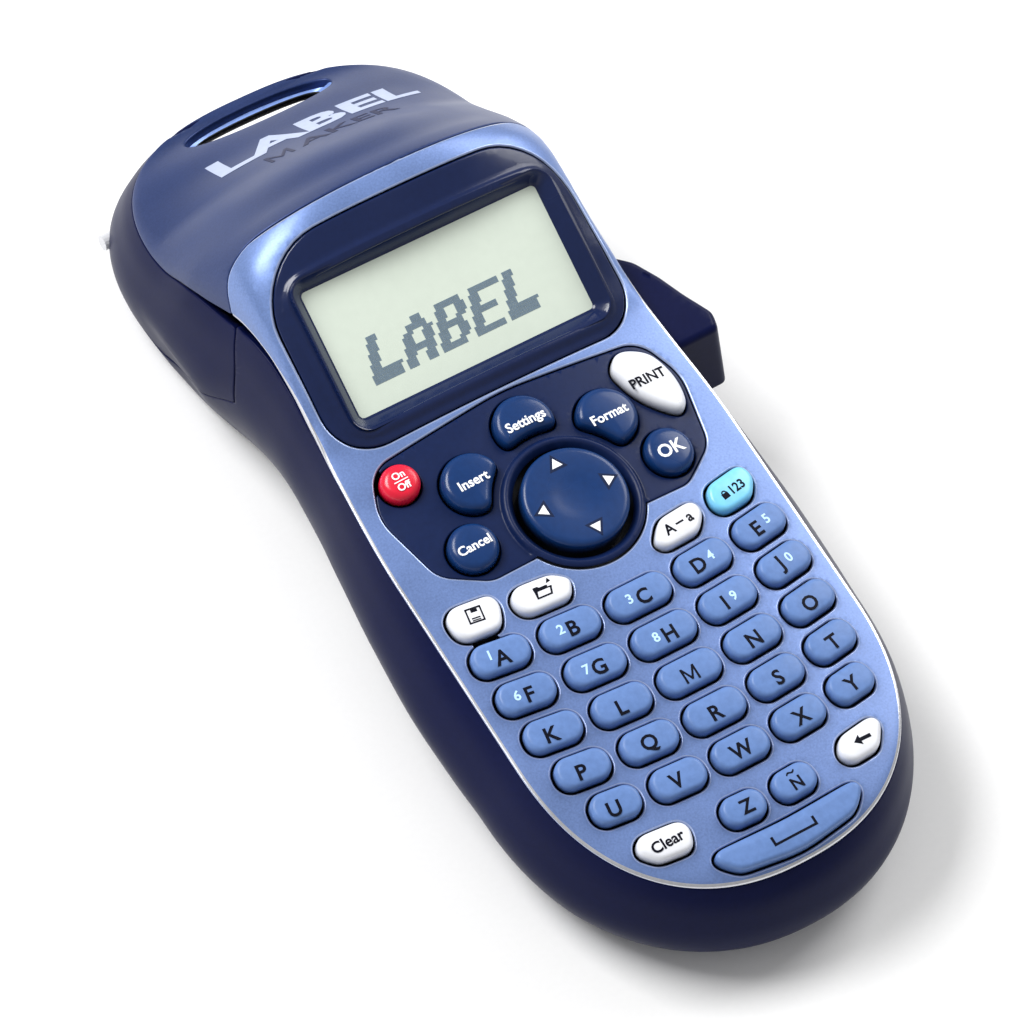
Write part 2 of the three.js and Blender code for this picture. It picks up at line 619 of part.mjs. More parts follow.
// ---- tape drive, in the bay under the hood ----
// Teeth stand at whole steps around the axis, counted from +Y and turned by a share of a step.
function gearOutline(teeth, y, z, turn = 0) {
  const pitch = (MODULE * teeth) / 2;
  const [root, tip] = [pitch - MODULE * 1.1, pitch + MODULE * 0.8];
  const corners = [[root, -0.24], [tip, -0.09], [tip, 0.09], [root, 0.24]];
  return Array.from({ length: teeth }, (_, tooth) => corners.map(([radius, share]) => {
    const angle = (2 * Math.PI * (tooth + share + turn)) / teeth;
    return [y + radius * Math.cos(angle), z + radius * Math.sin(angle)];
  })).flat();
}

const PINION_Y = PLATEN.y - (MODULE * (PLATEN_TEETH + PINION_TEETH)) / 2 - 0.12;

function platenRoller() {
  const { y, z, radius } = PLATEN;
  return crossBar(radius, -7.5, 7.5, y, z).add(crossBar(1.2, -9, 11.4, y, z, 12))
    .add(sidePrism(gearOutline(PLATEN_TEETH, y, z), 8.2, 11));
}

// Turned by half a tooth, so that a gap faces the roller gear's tooth.
const motorPinion = () => sidePrism(gearOutline(PINION_TEETH, 0, 0, 0.5), 8.4, 10.8)
  .add(crossBar(0.9, 8.4, 12.2, 0, 0, 10));

const driveMotor = () => crossBar(4.8, 12.8, 26, PINION_Y, PLATEN.z, 24);

const printHead = () => box(-8, 8, 138.3, 139.5, -31.4, -23).add(box(-6, 6, 139.3, 140.6, -31, -25));

function tapeCassette() {
  const profile = rounded([
    [96, -36.5, 5], [127.4, -37, 4], [129.7, -30, 5], [129.7, -17.5, 4], [118, -2.5, 6], [110, 1, 6],
    [98, -2, 6], [94.2, -12, 5],
  ], 3);
  return sidePrism(profile, -7.9, 7.9).subtract(crossBar(4, -20, -4, 112, -20, 16));
}

function cutterBlade() {
  const [foot, top] = LEVER.nose;
  const rod = box(14, 19, 97.2, 129.4, foot, top).add(box(8.3, 19, 127.4, 129.4, foot, top));
  const bridge = box(8.3, 10.5, 127.4, 131.6, foot, top);
  const carrier = box(-8, 10.5, 130.1, 131.6, -19.6, top);
  const edge = sidePrism([[130.1, -19.6], [133.8, -19.6], [132.6, -18.8], [130.1, -18.8]], -8, 8);
  return rod.add(bridge).add(carrier).add(edge);
}

function cutterLever() {
  const { x, y } = LEVER_PIVOT;
  const nose = deckPrism([[27.5, 86], [30.6, 89.2], [20, 96.8], [14.3, 96.8], [14.3, 94.2]], ...LEVER.nose);
  const { out, back, from, full } = LEVER_FLARE;
  const foot = LEVER_OUTLINE.map(([px, py]) => {
    const share = THREE.MathUtils.clamp((from - py) / (from - full), 0, 1);
    return [px + (px > 40 ? out * share : 0), py - back * share, LEVER.foot];
  });
  const body = toSolid(skin([foot, LEVER_OUTLINE.map(([px, py]) => [px, py, LEVER.top])]));
  return body.add(nose)
    .subtract(deckPrism(circle(1.7, 16, x, y)));
}

const mainBoard = () => deckPrism(rounded([
  [-21, -27, 3], [21, -27, 3], [31.5, -9, 6], [33, 10, 20], [33, 53, 2],
  [-33, 53, 2], [-33, 10, 20], [-31.5, -9, 6],
]), -7.2, -5.6);

// ---- assembly ----
function meshOf(name, shape, colour) {
  const [hex, roughness, metalness] = COLOURS[colour];
  const geometry = shape.isBufferGeometry ? shape : toGeometry(shape);
  const mesh = new THREE.Mesh(geometry, new THREE.MeshStandardMaterial({ color: hex, roughness, metalness }));
  mesh.name = name;
  return mesh;
}

const deck = new THREE.Group();
for (const cap of KEYS) deck.add(capMesh(cap.name, cap, cap.colour ?? "key"));
for (const cap of BUTTONS) deck.add(capMesh(cap.name, cap, cap.colour));

const pad = meshOf("nav_disc", new THREE.LatheGeometry([
  [0, KEY_FOOT], [NAV.disc, KEY_FOOT], [NAV.disc, 1.7], [9.2, 2.5], [3.4, 1.9], [0, 1.6],
].map(([r, h]) => new THREE.Vector2(r, h)), 24).rotateX(Math.PI / 2), "control");
pad.position.y = NAV.y;
deck.add(pad);

deck.add(meshOf("front_case", frontCase(), "metal"));
deck.add(meshOf("back_case", backCase(), "navy"));
deck.add(meshOf("control_panel", controlPanel(), "panel"));
deck.add(meshOf("display_bezel", displayBezel(), "navy"));
deck.add(meshOf("hood_cover", hoodCover(), "hood"));
deck.add(meshOf("hood_skirt", hoodSkirt(), "navy"));
deck.add(meshOf("hinge_pin", crossBar(PIN.radius, -PIN.half, PIN.half, PIN.y, PIN.z, 16), "steel"));
deck.add(meshOf("battery_door", batteryDoor(), "navy"));
deck.add(meshOf("batteries", batteries(), "cell"));
deck.add(meshOf("cutter_lever", cutterLever(), "navy"));
deck.add(meshOf("cutter_blade", cutterBlade(), "steel"));
deck.add(meshOf("platen_roller", platenRoller(), "rubber"));
deck.add(meshOf("drive_motor", driveMotor(), "steel"));
deck.add(meshOf("print_head", printHead(), "steel"));
deck.add(meshOf("tape_cassette", tapeCassette(), "cassette"));
deck.add(meshOf("main_board", mainBoard(), "board"));

const pinion = meshOf("motor_pinion", motorPinion(), "steel");
pinion.position.set(0, PINION_Y, PLATEN.z);
deck.add(pinion);

const glassFoot = LCD_GLASS.depth + LCD_GLASS.thickness;
const display = meshOf("lcd_module", displayBlock(LCD_GLASS.depth, glassFoot, 0), "glass");
display.position.y = LCD_FOOT;
display.rotation.x = LCD_TILT;
deck.add(display);

deck.position.set(...DECK_ORIGIN);
deck.rotation.x = REST_TILT;
const labelMaker = new THREE.Group();
labelMaker.add(deck);

export default labelMaker;
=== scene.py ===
"""Looks of the label maker: fine shells, caps, legends, materials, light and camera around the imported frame.

Shapes are worked out in the deck frame, in millimetres: origin at the middle of the letter block on the
keypad surface, X right, Y toward the hood, Z out of the keypad. DECK carries them into the row frame, in metres.
"""
import json
import math

import bpy
import numpy as np
from mathutils import Matrix, Vector
from mathutils.geometry import delaunay_2d_cdt


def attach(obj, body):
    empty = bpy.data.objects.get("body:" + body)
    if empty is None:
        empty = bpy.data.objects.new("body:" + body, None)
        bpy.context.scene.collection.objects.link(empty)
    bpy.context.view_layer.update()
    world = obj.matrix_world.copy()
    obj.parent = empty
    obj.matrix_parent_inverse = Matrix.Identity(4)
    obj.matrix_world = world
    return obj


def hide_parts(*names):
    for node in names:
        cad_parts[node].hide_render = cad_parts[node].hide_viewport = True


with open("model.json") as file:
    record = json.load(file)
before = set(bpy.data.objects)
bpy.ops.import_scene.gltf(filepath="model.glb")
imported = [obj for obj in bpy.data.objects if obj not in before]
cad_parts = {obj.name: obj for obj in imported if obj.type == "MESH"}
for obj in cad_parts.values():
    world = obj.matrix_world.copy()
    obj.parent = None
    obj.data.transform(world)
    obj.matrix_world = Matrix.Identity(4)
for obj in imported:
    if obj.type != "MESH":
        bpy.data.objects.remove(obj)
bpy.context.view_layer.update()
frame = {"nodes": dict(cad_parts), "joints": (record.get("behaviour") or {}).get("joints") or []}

# ---- the deck frame, read from the middle letter key and its press joint ----
KEY_FOOT = -3.6


def deck_matrix():
    axis = next(j["axis"] for j in frame["joints"] if j["name"] == "key_m_press")
    tilt = math.atan2(axis[1], -axis[2])
    turn = Matrix.Rotation(tilt, 4, "X")
    back = turn.inverted()
    points = [back @ v.co for v in frame["nodes"]["key_m"].data.vertices]
    low = [min(p[k] for p in points) for k in range(3)]
    high = [max(p[k] for p in points) for k in range(3)]
    origin = Vector(((low[0] + high[0]) / 2, (low[1] + high[1]) / 2, low[2] - KEY_FOOT / 1000))
    return turn @ Matrix.Translation(origin)


DECK = deck_matrix()
DECK_MM = np.array(DECK @ Matrix.Scale(0.001, 4))


def to_row(points):
    points = np.asarray(points, float)
    return points @ DECK_MM[:3, :3].T + DECK_MM[:3, 3]


# ---- driving dimensions, as in the CAD source ----
CROWN = 0.00155
RIM_HALF, TAIL_RIM, TAIL_BELLY, BELLY_HALF = 36.3, 39.4, 46.7, 41.0
HEAD_SPINE = 112.0
HEAD_RIM, HEAD_BELLY = (35.6, 36.1), (38.9, 37.7)
RIM_POWER, BELLY_POWER, HEAD_POWER = 2.3, 2.15, 2.9
SHOULDER_POWER = 3.2
KEY_HEIGHT = 1.8
WELL_GAP = 0.45
ROW_PITCH, KEY_DEPTH = 8.4, 6.2
COLUMN_X = (-27.7, -14.2, 0.0, 14.2, 27.7)
SMILE = 2.1 / 27.6**2
NAV_Y, NAV_RING = 38.4, 13.2
LCD_TILT, LCD_FOOT = math.radians(19.4), 65.4
PIN_Y, PIN_Z = 137.5, -35.5
REST_SLOPE, REST_LEVEL = math.tan(math.radians(6)), -28.5 / math.cos(math.radians(6))
HANDLE_LEVEL, HANDLE_ENDS = -26.2, (71, 102)  # back of the handle, and where it runs out into the head
WALL_MM = 26.0  # way down the side wall, which sets the scale of its drawing plane
SEAM_GAP, LIP = 0.15, 0.3  # half the gap at a seam, and the rounding of edges along it


# ---- smooth lines ----
def hermite(x, y, slope):
    """The cubic pieces through (x, y) with the given slopes, level beyond the ends."""
    h = np.diff(x)

    def at(value):
        v = np.clip(np.asarray(value, float), x[0], x[-1])
        i = np.clip(np.searchsorted(x, v, side="right") - 1, 0, len(x) - 2)
        t = (v - x[i]) / h[i]
        return (y[i] * (1 + 2 * t) * (1 - t) ** 2 + h[i] * slope[i] * t * (1 - t) ** 2
                + y[i + 1] * t * t * (3 - 2 * t) + h[i] * slope[i + 1] * t * t * (t - 1))

    return at


def smooth_line(points):
    """A curve without overshoot through the points (monotone cubic)."""
    x, y = np.array(points, float).T
    h, d = np.diff(x), np.diff(y) / np.diff(x)
    slope = np.zeros_like(x)
    for i in range(1, len(x) - 1):
        if d[i - 1] * d[i] > 0:
            w1, w2 = 2 * h[i] + h[i - 1], h[i] + 2 * h[i - 1]
            slope[i] = (w1 + w2) / (w1 / d[i - 1] + w2 / d[i])
    slope[0], slope[-1] = d[0], d[-1]
    return hermite(x, y, slope)


def ease(value, start, end):
    """0 up to start, 1 from end on, smooth between."""
    t = np.clip((value - start) / (end - start), 0, 1)
    return t * t * (3 - 2 * t)


# Along the deck: the crest, the paint line, and the half widths of the belly and of the paint line.
top_line = smooth_line([(0, 0), (62, 0), (65.4, 0.25), (70, 1.63), (80, 5.16), (90, 8.69), (100, 12.2),
                        (104, 13.45), (106.5, 13.7), (108.5, 12.6), (112, 9.4), (119, 4.1), (123, -0.2),
                        (132, -9), (139, -14.2), (147, -25.2)])
rim_line = smooth_line([(0, -2.6), (62, -2.6), (73, -2.5), (80, -1.7), (87, -1.7), (92, -2.4), (101.7, -6.6),
                        (112, -10.8), (119, -15.9), (132, -21), (139, -23.1), (147, -25.2)])
belly_line = smooth_line([(0, BELLY_HALF), (8, 41.6), (20, 41.95), (36, 40.8), (52, 38.7), (65.4, 36.9),
                          (73, 36.6), (80, 36.5), (92, 37.1), (101.7, 38.5), (112, HEAD_BELLY[0])])
rim_half = smooth_line([(0, RIM_HALF), (40, RIM_HALF), (62, 35), (73, 34.1), (87, 33.5), (96, 33.8),
                        (112, HEAD_RIM[0])])
# How far out to the widest level, and how far down from paint line to back, along the side wall.
SIDE = np.array([(0, 0), (0.4, 0.14), (0.7, 0.3), (0.94, 0.46), (1, 0.58), (0.86, 0.72), (0.45, 0.86),
                 (0.1, 0.95), (-0.15, 1)])
BELLY_OUT = 6  # how far the belly stands out past the paint line, about
side_share = np.r_[0, np.cumsum(np.hypot(*(np.diff(SIDE, axis=0) * (BELLY_OUT, WALL_MM)).T))]
side_share /= side_share[-1]
side_out, side_down = (hermite(side_share, values, np.gradient(values, side_share)) for values in SIDE.T)


def floor_line(y):
    """Level of the back: on the resting plane at tail and head, raised off it under the handle."""
    y = np.asarray(y, float)
    plane = REST_LEVEL - REST_SLOPE * y
    handle = np.maximum(HANDLE_LEVEL, plane)
    return handle + (plane - handle) * ease(y, *HANDLE_ENDS)


# ---- the outer form ----
def reach(direction, half, length, power):
    """Distance from the centre of a rounded end to its outline, in each direction."""
    d = np.abs(direction)
    return ((d[..., 0] / half) ** power + (d[..., 1] / length) ** power) ** (-1 / power)


SHARE_TABLE = np.linspace(0, 1, 2001)
SPREAD = 0.25  # how much the steep shoulder is spread out in the drawing plane
SPREAD_TABLE = SHARE_TABLE + SPREAD * (1 - (1 - SHARE_TABLE**SHOULDER_POWER) ** (1 / SHOULDER_POWER))


def from_spine(points):
    """For points: their feet on the spine, offsets from it, the lengths of these, and the paint line's."""
    points = np.asarray(points, float)
    foot = np.c_[np.zeros(len(points)), np.clip(points[:, 1], 0, HEAD_SPINE)]
    offset = points - foot
    length = np.maximum(np.hypot(offset[:, 0], offset[:, 1]), 1e-9)
    unit = offset / length[:, None]
    tail = reach(unit, RIM_HALF, TAIL_RIM, RIM_POWER)
    head = reach(unit, *HEAD_RIM, HEAD_POWER)
    far = np.where(offset[:, 1] < -1e-9, tail, np.where(offset[:, 1] > 1e-9, head, rim_half(foot[:, 1])))
    return foot, offset, length, far


def spread_out(plan):
    """Plan points carried to the drawing plane, where the shoulders are spread out."""
    foot, offset, length, far = from_spine(plan)
    share = np.clip(length / far, 0, 1)
    wide = np.interp(share, SHARE_TABLE, SPREAD_TABLE)
    scale = np.where(share > 1e-6, wide / np.maximum(share, 1e-6), 1)
    return foot + offset * scale[:, None]


def on_top(drawn):
    """Points of the drawing plane lifted onto the top surface, in the deck frame."""
    foot, offset, length, far = from_spine(drawn)
    share = np.interp(length / far, SPREAD_TABLE, SHARE_TABLE)
    scale = np.where(length > 1e-6, share * far / np.maximum(length, 1e-6), 1)
    plan = foot + offset * scale[:, None]
    return np.c_[plan, top_height(plan, share)]


shoulder_power = smooth_line([(55, SHOULDER_POWER), (66, 4.6), (97, 4.6), (108, 2.6), (124, 1.6)])


def top_height(plan, share):
    x, y = plan[:, 0], plan[:, 1]
    crest = top_line(y) - CROWN * x * x
    drop = np.maximum(crest - rim_line(y), 0)
    power = shoulder_power(y)
    return crest - drop * (1 - (1 - np.clip(share, 0, 1) ** power) ** (1 / power))


def plan_height(x, y):
    """Height of the face over plan points."""
    plan = np.c_[np.atleast_1d(x), np.atleast_1d(y)].astype(float)
    _, _, length, far = from_spine(plan)
    return top_height(plan, length / far)


TAIL_TIP, HEAD_TIP = -62.0, HEAD_SPINE + 62.0  # ends of the way along the outline, right half


def wall_point(along, down):
    """Points of the right side wall: along from tail tip to head tip, down from paint line 0 to back 1."""
    along, down = np.asarray(along, float), np.asarray(down, float)
    spine = np.clip(along, 0, HEAD_SPINE)
    tail = np.clip(along / -TAIL_TIP, -1, 0) * math.pi / 2
    head = np.clip((along - HEAD_SPINE) / (HEAD_TIP - HEAD_SPINE), 0, 1) * math.pi / 2

    def corner(angle, half, length, power):
        c, s = np.maximum(np.cos(angle), 0), np.abs(np.sin(angle))
        return half * c ** (2 / power), length * s ** (2 / power)

    rx, ry = corner(tail, RIM_HALF, TAIL_RIM, RIM_POWER)
    bx, by = corner(tail, BELLY_HALF, TAIL_BELLY, BELLY_POWER)
    hx, hy = corner(head, *HEAD_RIM, HEAD_POWER)
    gx, gy = corner(head, *HEAD_BELLY, HEAD_POWER)
    is_tail, is_head = along < 0, along > HEAD_SPINE
    rim_x = np.where(is_tail, rx, np.where(is_head, hx, rim_half(spine)))
    rim_y = np.where(is_tail, -ry, np.where(is_head, HEAD_SPINE + hy, spine))
    belly_x = np.where(is_tail, bx, np.where(is_head, gx, belly_line(spine)))
    belly_y = np.where(is_tail, -by, np.where(is_head, HEAD_SPINE + gy, spine))
    out, low = side_out(down), side_down(down)
    x, y = rim_x + (belly_x - rim_x) * out, rim_y + (belly_y - rim_y) * out
    top, foot = rim_line(rim_y), floor_line(y)
    return np.stack([x, y, top + (foot - top) * low], -1)


# ---- outlines ----
def rounded(corners, steps=6):
    """A counter-clockwise polygon whose corners (x, y, radius) are rounded."""
    outline, count = [], len(corners)
    for i, (x, y, radius) in enumerate(corners):
        at = Vector((x, y))
        before = (Vector(corners[i - 1][:2]) - at).normalized()
        after = (Vector(corners[(i + 1) % count][:2]) - at).normalized()
        half = math.acos(max(-1, min(1, before.dot(after)))) / 2
        centre = at + (before + after).normalized() * (radius / math.sin(half))
        start = at + before * (radius / math.tan(half)) - centre
        cross = before.x * after.y - before.y * after.x
        sweep = (math.pi - 2 * half) * (-1 if cross > 0 else 1)
        for k in range(steps + 1):
            a = sweep * k / steps
            c, s = math.cos(a), math.sin(a)
            outline.append((centre.x + start.x * c - start.y * s, centre.y + start.x * s + start.y * c))
    return np.array(outline)


def rounded_box(half, low, high, radius, steps=6):
    """A rounded rectangle across the middle line, between two levels."""
    corners = [(-half, low), (half, low), (half, high), (-half, high)]
    return rounded([(x, y, radius) for x, y in corners], steps)


def circle(radius, steps=64, x=0.0, y=0.0):
    a = np.arange(steps) * 2 * math.pi / steps
    return np.c_[x + radius * np.cos(a), y + radius * np.sin(a)]


def resampled(outline, spacing):
    """The closed outline with points at even spacing."""
    closed = np.vstack([outline, outline[:1]])
    way = np.r_[0, np.cumsum(np.hypot(*np.diff(closed, axis=0).T))]
    count = max(int(round(way[-1] / spacing)), 8)
    at = np.arange(count) * way[-1] / count
    return np.c_[np.interp(at, way, closed[:, 0]), np.interp(at, way, closed[:, 1])]


def softened(outline, rounds):
    """Corners of an evenly sampled outline relaxed a little."""
    for _ in range(rounds):
        outline = outline * 0.5 + (np.roll(outline, 1, 0) + np.roll(outline, -1, 0)) * 0.25
    return outline


def grown(outline, distance):
    """The counter-clockwise outline moved outward by the distance."""
    along = np.roll(outline, -1, 0) - np.roll(outline, 1, 0)
    along /= np.maximum(np.hypot(along[:, 0], along[:, 1]), 1e-9)[:, None]
    return outline + np.c_[along[:, 1], -along[:, 0]] * distance


def oriented(outline):
    """The outline, counter-clockwise."""
    area = np.sum(outline[:, 0] * np.roll(outline[:, 1], -1) - np.roll(outline[:, 0], -1) * outline[:, 1])
    return outline if area > 0 else outline[::-1]


def at_level(outline, z):
    return np.c_[outline, np.full(len(outline), z)]


def grid(low, high, spacing):
    """Points in staggered rows."""
    rows = []
    for k, y in enumerate(np.arange(low[1], high[1], spacing * 0.866)):
        x = np.arange(low[0] + (k % 2) * spacing / 2, high[0], spacing)
        rows.append(np.c_[x, np.full(len(x), y)])
    return np.vstack(rows)


def turned(outline, x, y, turn):
    c, s = math.cos(turn), math.sin(turn)
    return np.c_[x + outline[:, 0] * c - outline[:, 1] * s, y + outline[:, 0] * s + outline[:, 1] * c]


def inside(points, outline):
    """Which points lie inside the outline."""
    x, y = points[:, 0][:, None], points[:, 1][:, None]
    x0, y0 = outline[:, 0], outline[:, 1]
    x1, y1 = np.roll(x0, -1), np.roll(y0, -1)
    cross = (y0 > y) != (y1 > y)
    at = x0 + (y - y0) * (x1 - x0) / np.where(y1 == y0, 1e-12, y1 - y0)
    return (np.sum(cross & (x < at), axis=1) % 2) == 1


# ---- meshes ----
def triangulated(outer, holes, extra, lines=()):
    """Flat triangles of the region inside outer and outside the holes, with extra points and lines in it."""
    loops = [outer, *holes]
    points, edges = [], []
    for line in lines:
        edges += [(len(points) + i, len(points) + i + 1) for i in range(len(line) - 1)]
        points += [tuple(p) for p in line]
    for loop in loops:
        start, count = len(points), len(loop)
        points += [tuple(p) for p in loop]
        edges += [(start + i, start + (i + 1) % count) for i in range(count)]
    keep = inside(extra, grown(outer, -0.5))
    for hole in holes:
        keep &= ~inside(extra, grown(hole, 0.5))
    for line in lines:
        for part in np.array_split(np.arange(len(extra)), 40):
            apart = extra[part][:, None] - line
            keep[part] &= np.hypot(apart[..., 0], apart[..., 1]).min(axis=1) > 0.55
    points += [tuple(p) for p in extra[keep]]
    made = delaunay_2d_cdt([Vector(p) for p in points], edges, [], 0, 1e-5)
    flat, faces = np.array([tuple(v) for v in made[0]]), np.array(made[2])
    middle = flat[faces].mean(axis=1)
    good = inside(middle, outer)
    for hole in holes:
        good &= ~inside(middle, hole)
    return flat, faces[good]


def vertex_normals(verts, faces):
    a, b, c = verts[faces[:, 0]], verts[faces[:, 1]], verts[faces[:, 2]]
    n = np.cross(b - a, c - a)
    total = np.zeros_like(verts)
    for k in range(3):
        np.add.at(total, faces[:, k], n)
    return total / np.maximum(np.linalg.norm(total, axis=1), 1e-12)[:, None]


def boundary_loops(faces):
    edges = {}
    for a, b, c in faces:
        for e in ((a, b), (b, c), (c, a)):
            edges[e] = edges.get(e, 0) + 1
    onward = {a: b for a, b in edges if (b, a) not in edges}
    loops = []
    while onward:
        start, nxt = onward.popitem()
        loop = [start]
        while nxt != start:
            loop.append(nxt)
            nxt = onward.pop(nxt)
        loops.append(np.array(loop))
    return loops


def thickened(verts, faces, thickness, radius, steps=4):
    """A closed wall behind an open surface, its edges rounded outward by radius. Returns vertices, faces and
    a kind for each face: 0 front, 1 rounded edge, 2 the rest of the edge, 3 back."""
    normals = vertex_normals(verts, faces)
    back = verts - normals * thickness
    all_verts, all_faces, kinds = [verts, back], [*map(tuple, faces)], [0] * len(faces)
    back_start, offset = len(verts), 2 * len(verts)
    for loop in boundary_loops(faces):
        p, n = verts[loop], normals[loop]
        out = np.cross(np.roll(p, -1, 0) - np.roll(p, 1, 0), n)
        out /= np.maximum(np.linalg.norm(out, axis=1), 1e-9)[:, None]
        back[loop] = p + out * radius - n * thickness
        count, last = len(loop), loop
        for k in range(1, steps + 2):
            a = math.pi / 2 * k / steps
            if k > steps:
                this = back_start + loop
            else:
                this = offset + np.arange(count)
                all_verts.append(p + out * radius * math.sin(a) - n * radius * (1 - math.cos(a)))
                offset += count
            for i in range(count):
                j = (i + 1) % count
                all_faces.append((last[j], last[i], this[i], this[j]))
            kinds += [2 if k > steps else 1] * count
            last = this
    all_faces += [tuple(back_start + i for i in (a, c, b)) for a, b, c in faces]
    kinds += [3] * len(faces)
    return np.vstack(all_verts), all_faces, kinds


def welded(verts, digits):
    """Points that coincide made one: the points left, and which of them each old point is."""
    _, keep, which = np.unique(np.round(verts, digits), axis=0, return_index=True, return_inverse=True)
    return verts[keep], which.reshape(-1)


def closed_band(rings, flipped=False):
    """Faces of a band through rings of equal count whose last ring meets the first."""
    count, faces = len(rings[0]), []
    for r in range(len(rings)):
        for i in range(count):
            j, n = (i + 1) % count, (r + 1) % len(rings)
            face = (r * count + i, r * count + j, n * count + j, n * count + i)
            faces.append((face[1], face[0], face[3], face[2]) if flipped else face)
    return faces


def lofted(rings, closed_low=True, closed_high=True):
    """A skin through rings of equal count, lowest first; ends close to their middle."""
    count = len(rings[0])
    verts = np.vstack(rings)
    faces = []
    for r in range(len(rings) - 1):
        for i in range(count):
            a, b = r * count + i, r * count + (i + 1) % count
            faces.append((a, b, b + count, a + count))
    if closed_low:
        faces.append(tuple(range(count - 1, -1, -1)))
    if closed_high:
        verts = np.vstack([verts, rings[-1].mean(axis=0)])
        top, centre = (len(rings) - 1) * count, len(verts) - 1
        faces += [(top + i, top + (i + 1) % count, centre) for i in range(count)]
    return verts, faces


def piece(name, verts, faces, materials, body, slot=None, replaces=None, face_material=None, sharp=None):
    """A mesh object from deck frame points, riding on a body."""
    mesh = bpy.data.meshes.new(name)
    mesh.from_pydata([tuple(p) for p in to_row(verts)], [], [tuple(int(i) for i in f) for f in faces])
    mesh.validate()
    for material in materials if isinstance(materials, (list, tuple)) else [materials]:
        mesh.materials.append(material)
    if face_material is not None:
        mesh.polygons.foreach_set("material_index", np.asarray(face_material, np.int32))
    mesh.shade_smooth()
    obj = bpy.data.objects.new(name, mesh)
    bpy.context.scene.collection.objects.link(obj)
    if sharp is not None:
        mesh.set_sharp_from_angle(angle=math.radians(sharp))
    weighted = obj.modifiers.new("even shading", "WEIGHTED_NORMAL")
    weighted.mode = "FACE_AREA"
    weighted.keep_sharp = True
    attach(obj, body)
    if replaces:
        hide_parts(*([replaces] if isinstance(replaces, str) else replaces))


def shell(name, surface, faces, thickness, radius, colour, body, slot, replaces):
    """A piece with a closed wall behind an open surface."""
    verts, closed, _ = thickened(surface, faces, thickness, radius)
    piece(name, verts, closed, colour, body, slot, replaces)


# ---- materials ----
def linear(r, g, b):
    """A linear colour from one given in screen values of 0 to 255."""
    def one(v):
        v /= 255
        return v / 12.92 if v <= 0.04045 else ((v + 0.055) / 1.055) ** 2.4
    return (one(r), one(g), one(b), 1.0)


def material(name, colour, rough=0.4, metallic=0.0, coat=0.0, coat_rough=0.1, grain=900.0, vary=0.06,
             rough_vary=0.06, bump=0.05, bump_scale=1600.0, specular=0.5):
    """Moulded or painted finish: fine grain in the colour, slow drift, uneven gloss and a little relief."""
    mat = bpy.data.materials.new(name)
    mat.use_nodes = True
    nodes, links = mat.node_tree.nodes, mat.node_tree.links
    shader = next(n for n in nodes if n.type == "BSDF_PRINCIPLED")
    shader.inputs["Metallic"].default_value = metallic
    shader.inputs["Specular IOR Level"].default_value = specular
    shader.inputs["Coat Weight"].default_value = coat
    shader.inputs["Coat Roughness"].default_value = coat_rough
    place = nodes.new("ShaderNodeTexCoord")

    def noise(scale, detail):
        made = nodes.new("ShaderNodeTexNoise")
        made.inputs["Scale"].default_value = scale
        made.inputs["Detail"].default_value = detail
        links.new(place.outputs["Object"], made.inputs["Vector"])
        return made.outputs["Fac"]

    fine, slow = noise(grain, 3.0), noise(60.0, 2.0)
    mixed = nodes.new("ShaderNodeMath")
    mixed.operation = "MULTIPLY_ADD"
    links.new(slow, mixed.inputs[0])
    mixed.inputs[1].default_value = 0.6
    links.new(fine, mixed.inputs[2])
    ramp = nodes.new("ShaderNodeValToRGB")
    low, high = ramp.color_ramp.elements
    low.position, high.position = 0.45, 1.15
    low.color = tuple(c * (1 - vary) for c in colour[:3]) + (1,)
    high.color = tuple(min(c * (1 + vary), 1) for c in colour[:3]) + (1,)
    links.new(mixed.outputs[0], ramp.inputs["Fac"])
    links.new(ramp.outputs["Color"], shader.inputs["Base Color"])
    gloss = nodes.new("ShaderNodeMapRange")
    links.new(slow, gloss.inputs["Value"])
    gloss.inputs["From Min"].default_value, gloss.inputs["From Max"].default_value = 0.3, 0.7
    gloss.inputs["To Min"].default_value = max(rough - rough_vary, 0.02)
    gloss.inputs["To Max"].default_value = min(rough + rough_vary, 1)
    links.new(gloss.outputs["Result"], shader.inputs["Roughness"])
    relief = nodes.new("ShaderNodeBump")
    relief.inputs["Strength"].default_value = bump
    relief.inputs["Distance"].default_value = 0.00005
    links.new(noise(bump_scale, 2.0), relief.inputs["Height"])
    links.new(relief.outputs["Normal"], shader.inputs["Normal"])
    return mat


FACE = material("face lacquer", linear(101, 125, 176), 0.42, 0.45, coat=0.25, coat_rough=0.2, vary=0.16,
                grain=2600, bump=0.12, bump_scale=2400)
# Painted highlight: a lighter metallic paint for the rounded edges round the face plate's openings and along its
# rim.
EDGE_HIGHLIGHT = material("face edge with painted highlight", linear(160, 176, 214), 0.32, 0.6, coat=0.15, vary=0.08)
# Silver paint along the rim, made brighter to act as a painted highlight.
SILVER_AND_HIGHLIGHT = material("silver rim and painted highlight", linear(206, 207, 212), 0.28, 0.85, vary=0.1, grain=1500)
HOOD = material("hood lacquer", linear(38, 54, 98), 0.42, 0.4, coat=0.08, coat_rough=0.2, specular=0.3,
                vary=0.18, grain=2600, bump=0.1, bump_scale=2400)
NAVY = material("navy shell", linear(8, 15, 54), 0.36, vary=0.1, bump=0.1, rough_vary=0.05, specular=0.1)
PANEL_BLUE = material("panel navy", linear(13, 29, 68), 0.36, vary=0.1, bump=0.18, bump_scale=2600,
                      specular=0.2)
BEZEL_NAVY = material("bezel navy", linear(12, 27, 66), 0.22, coat=0.2, coat_rough=0.08, vary=0.08, bump=0.05,
                      specular=0.3)
KEY = material("letter key", linear(96, 126, 180), 0.38, specular=0.25, vary=0.1, bump=0.14, bump_scale=2600)
WHITE = material("white key", linear(226, 228, 234), 0.3, vary=0.03, bump=0.05)
CYAN = material("cyan key", linear(120, 200, 236), 0.3, vary=0.06, bump=0.05)
RED = material("red key", linear(214, 22, 52), 0.28, vary=0.08, bump=0.05)
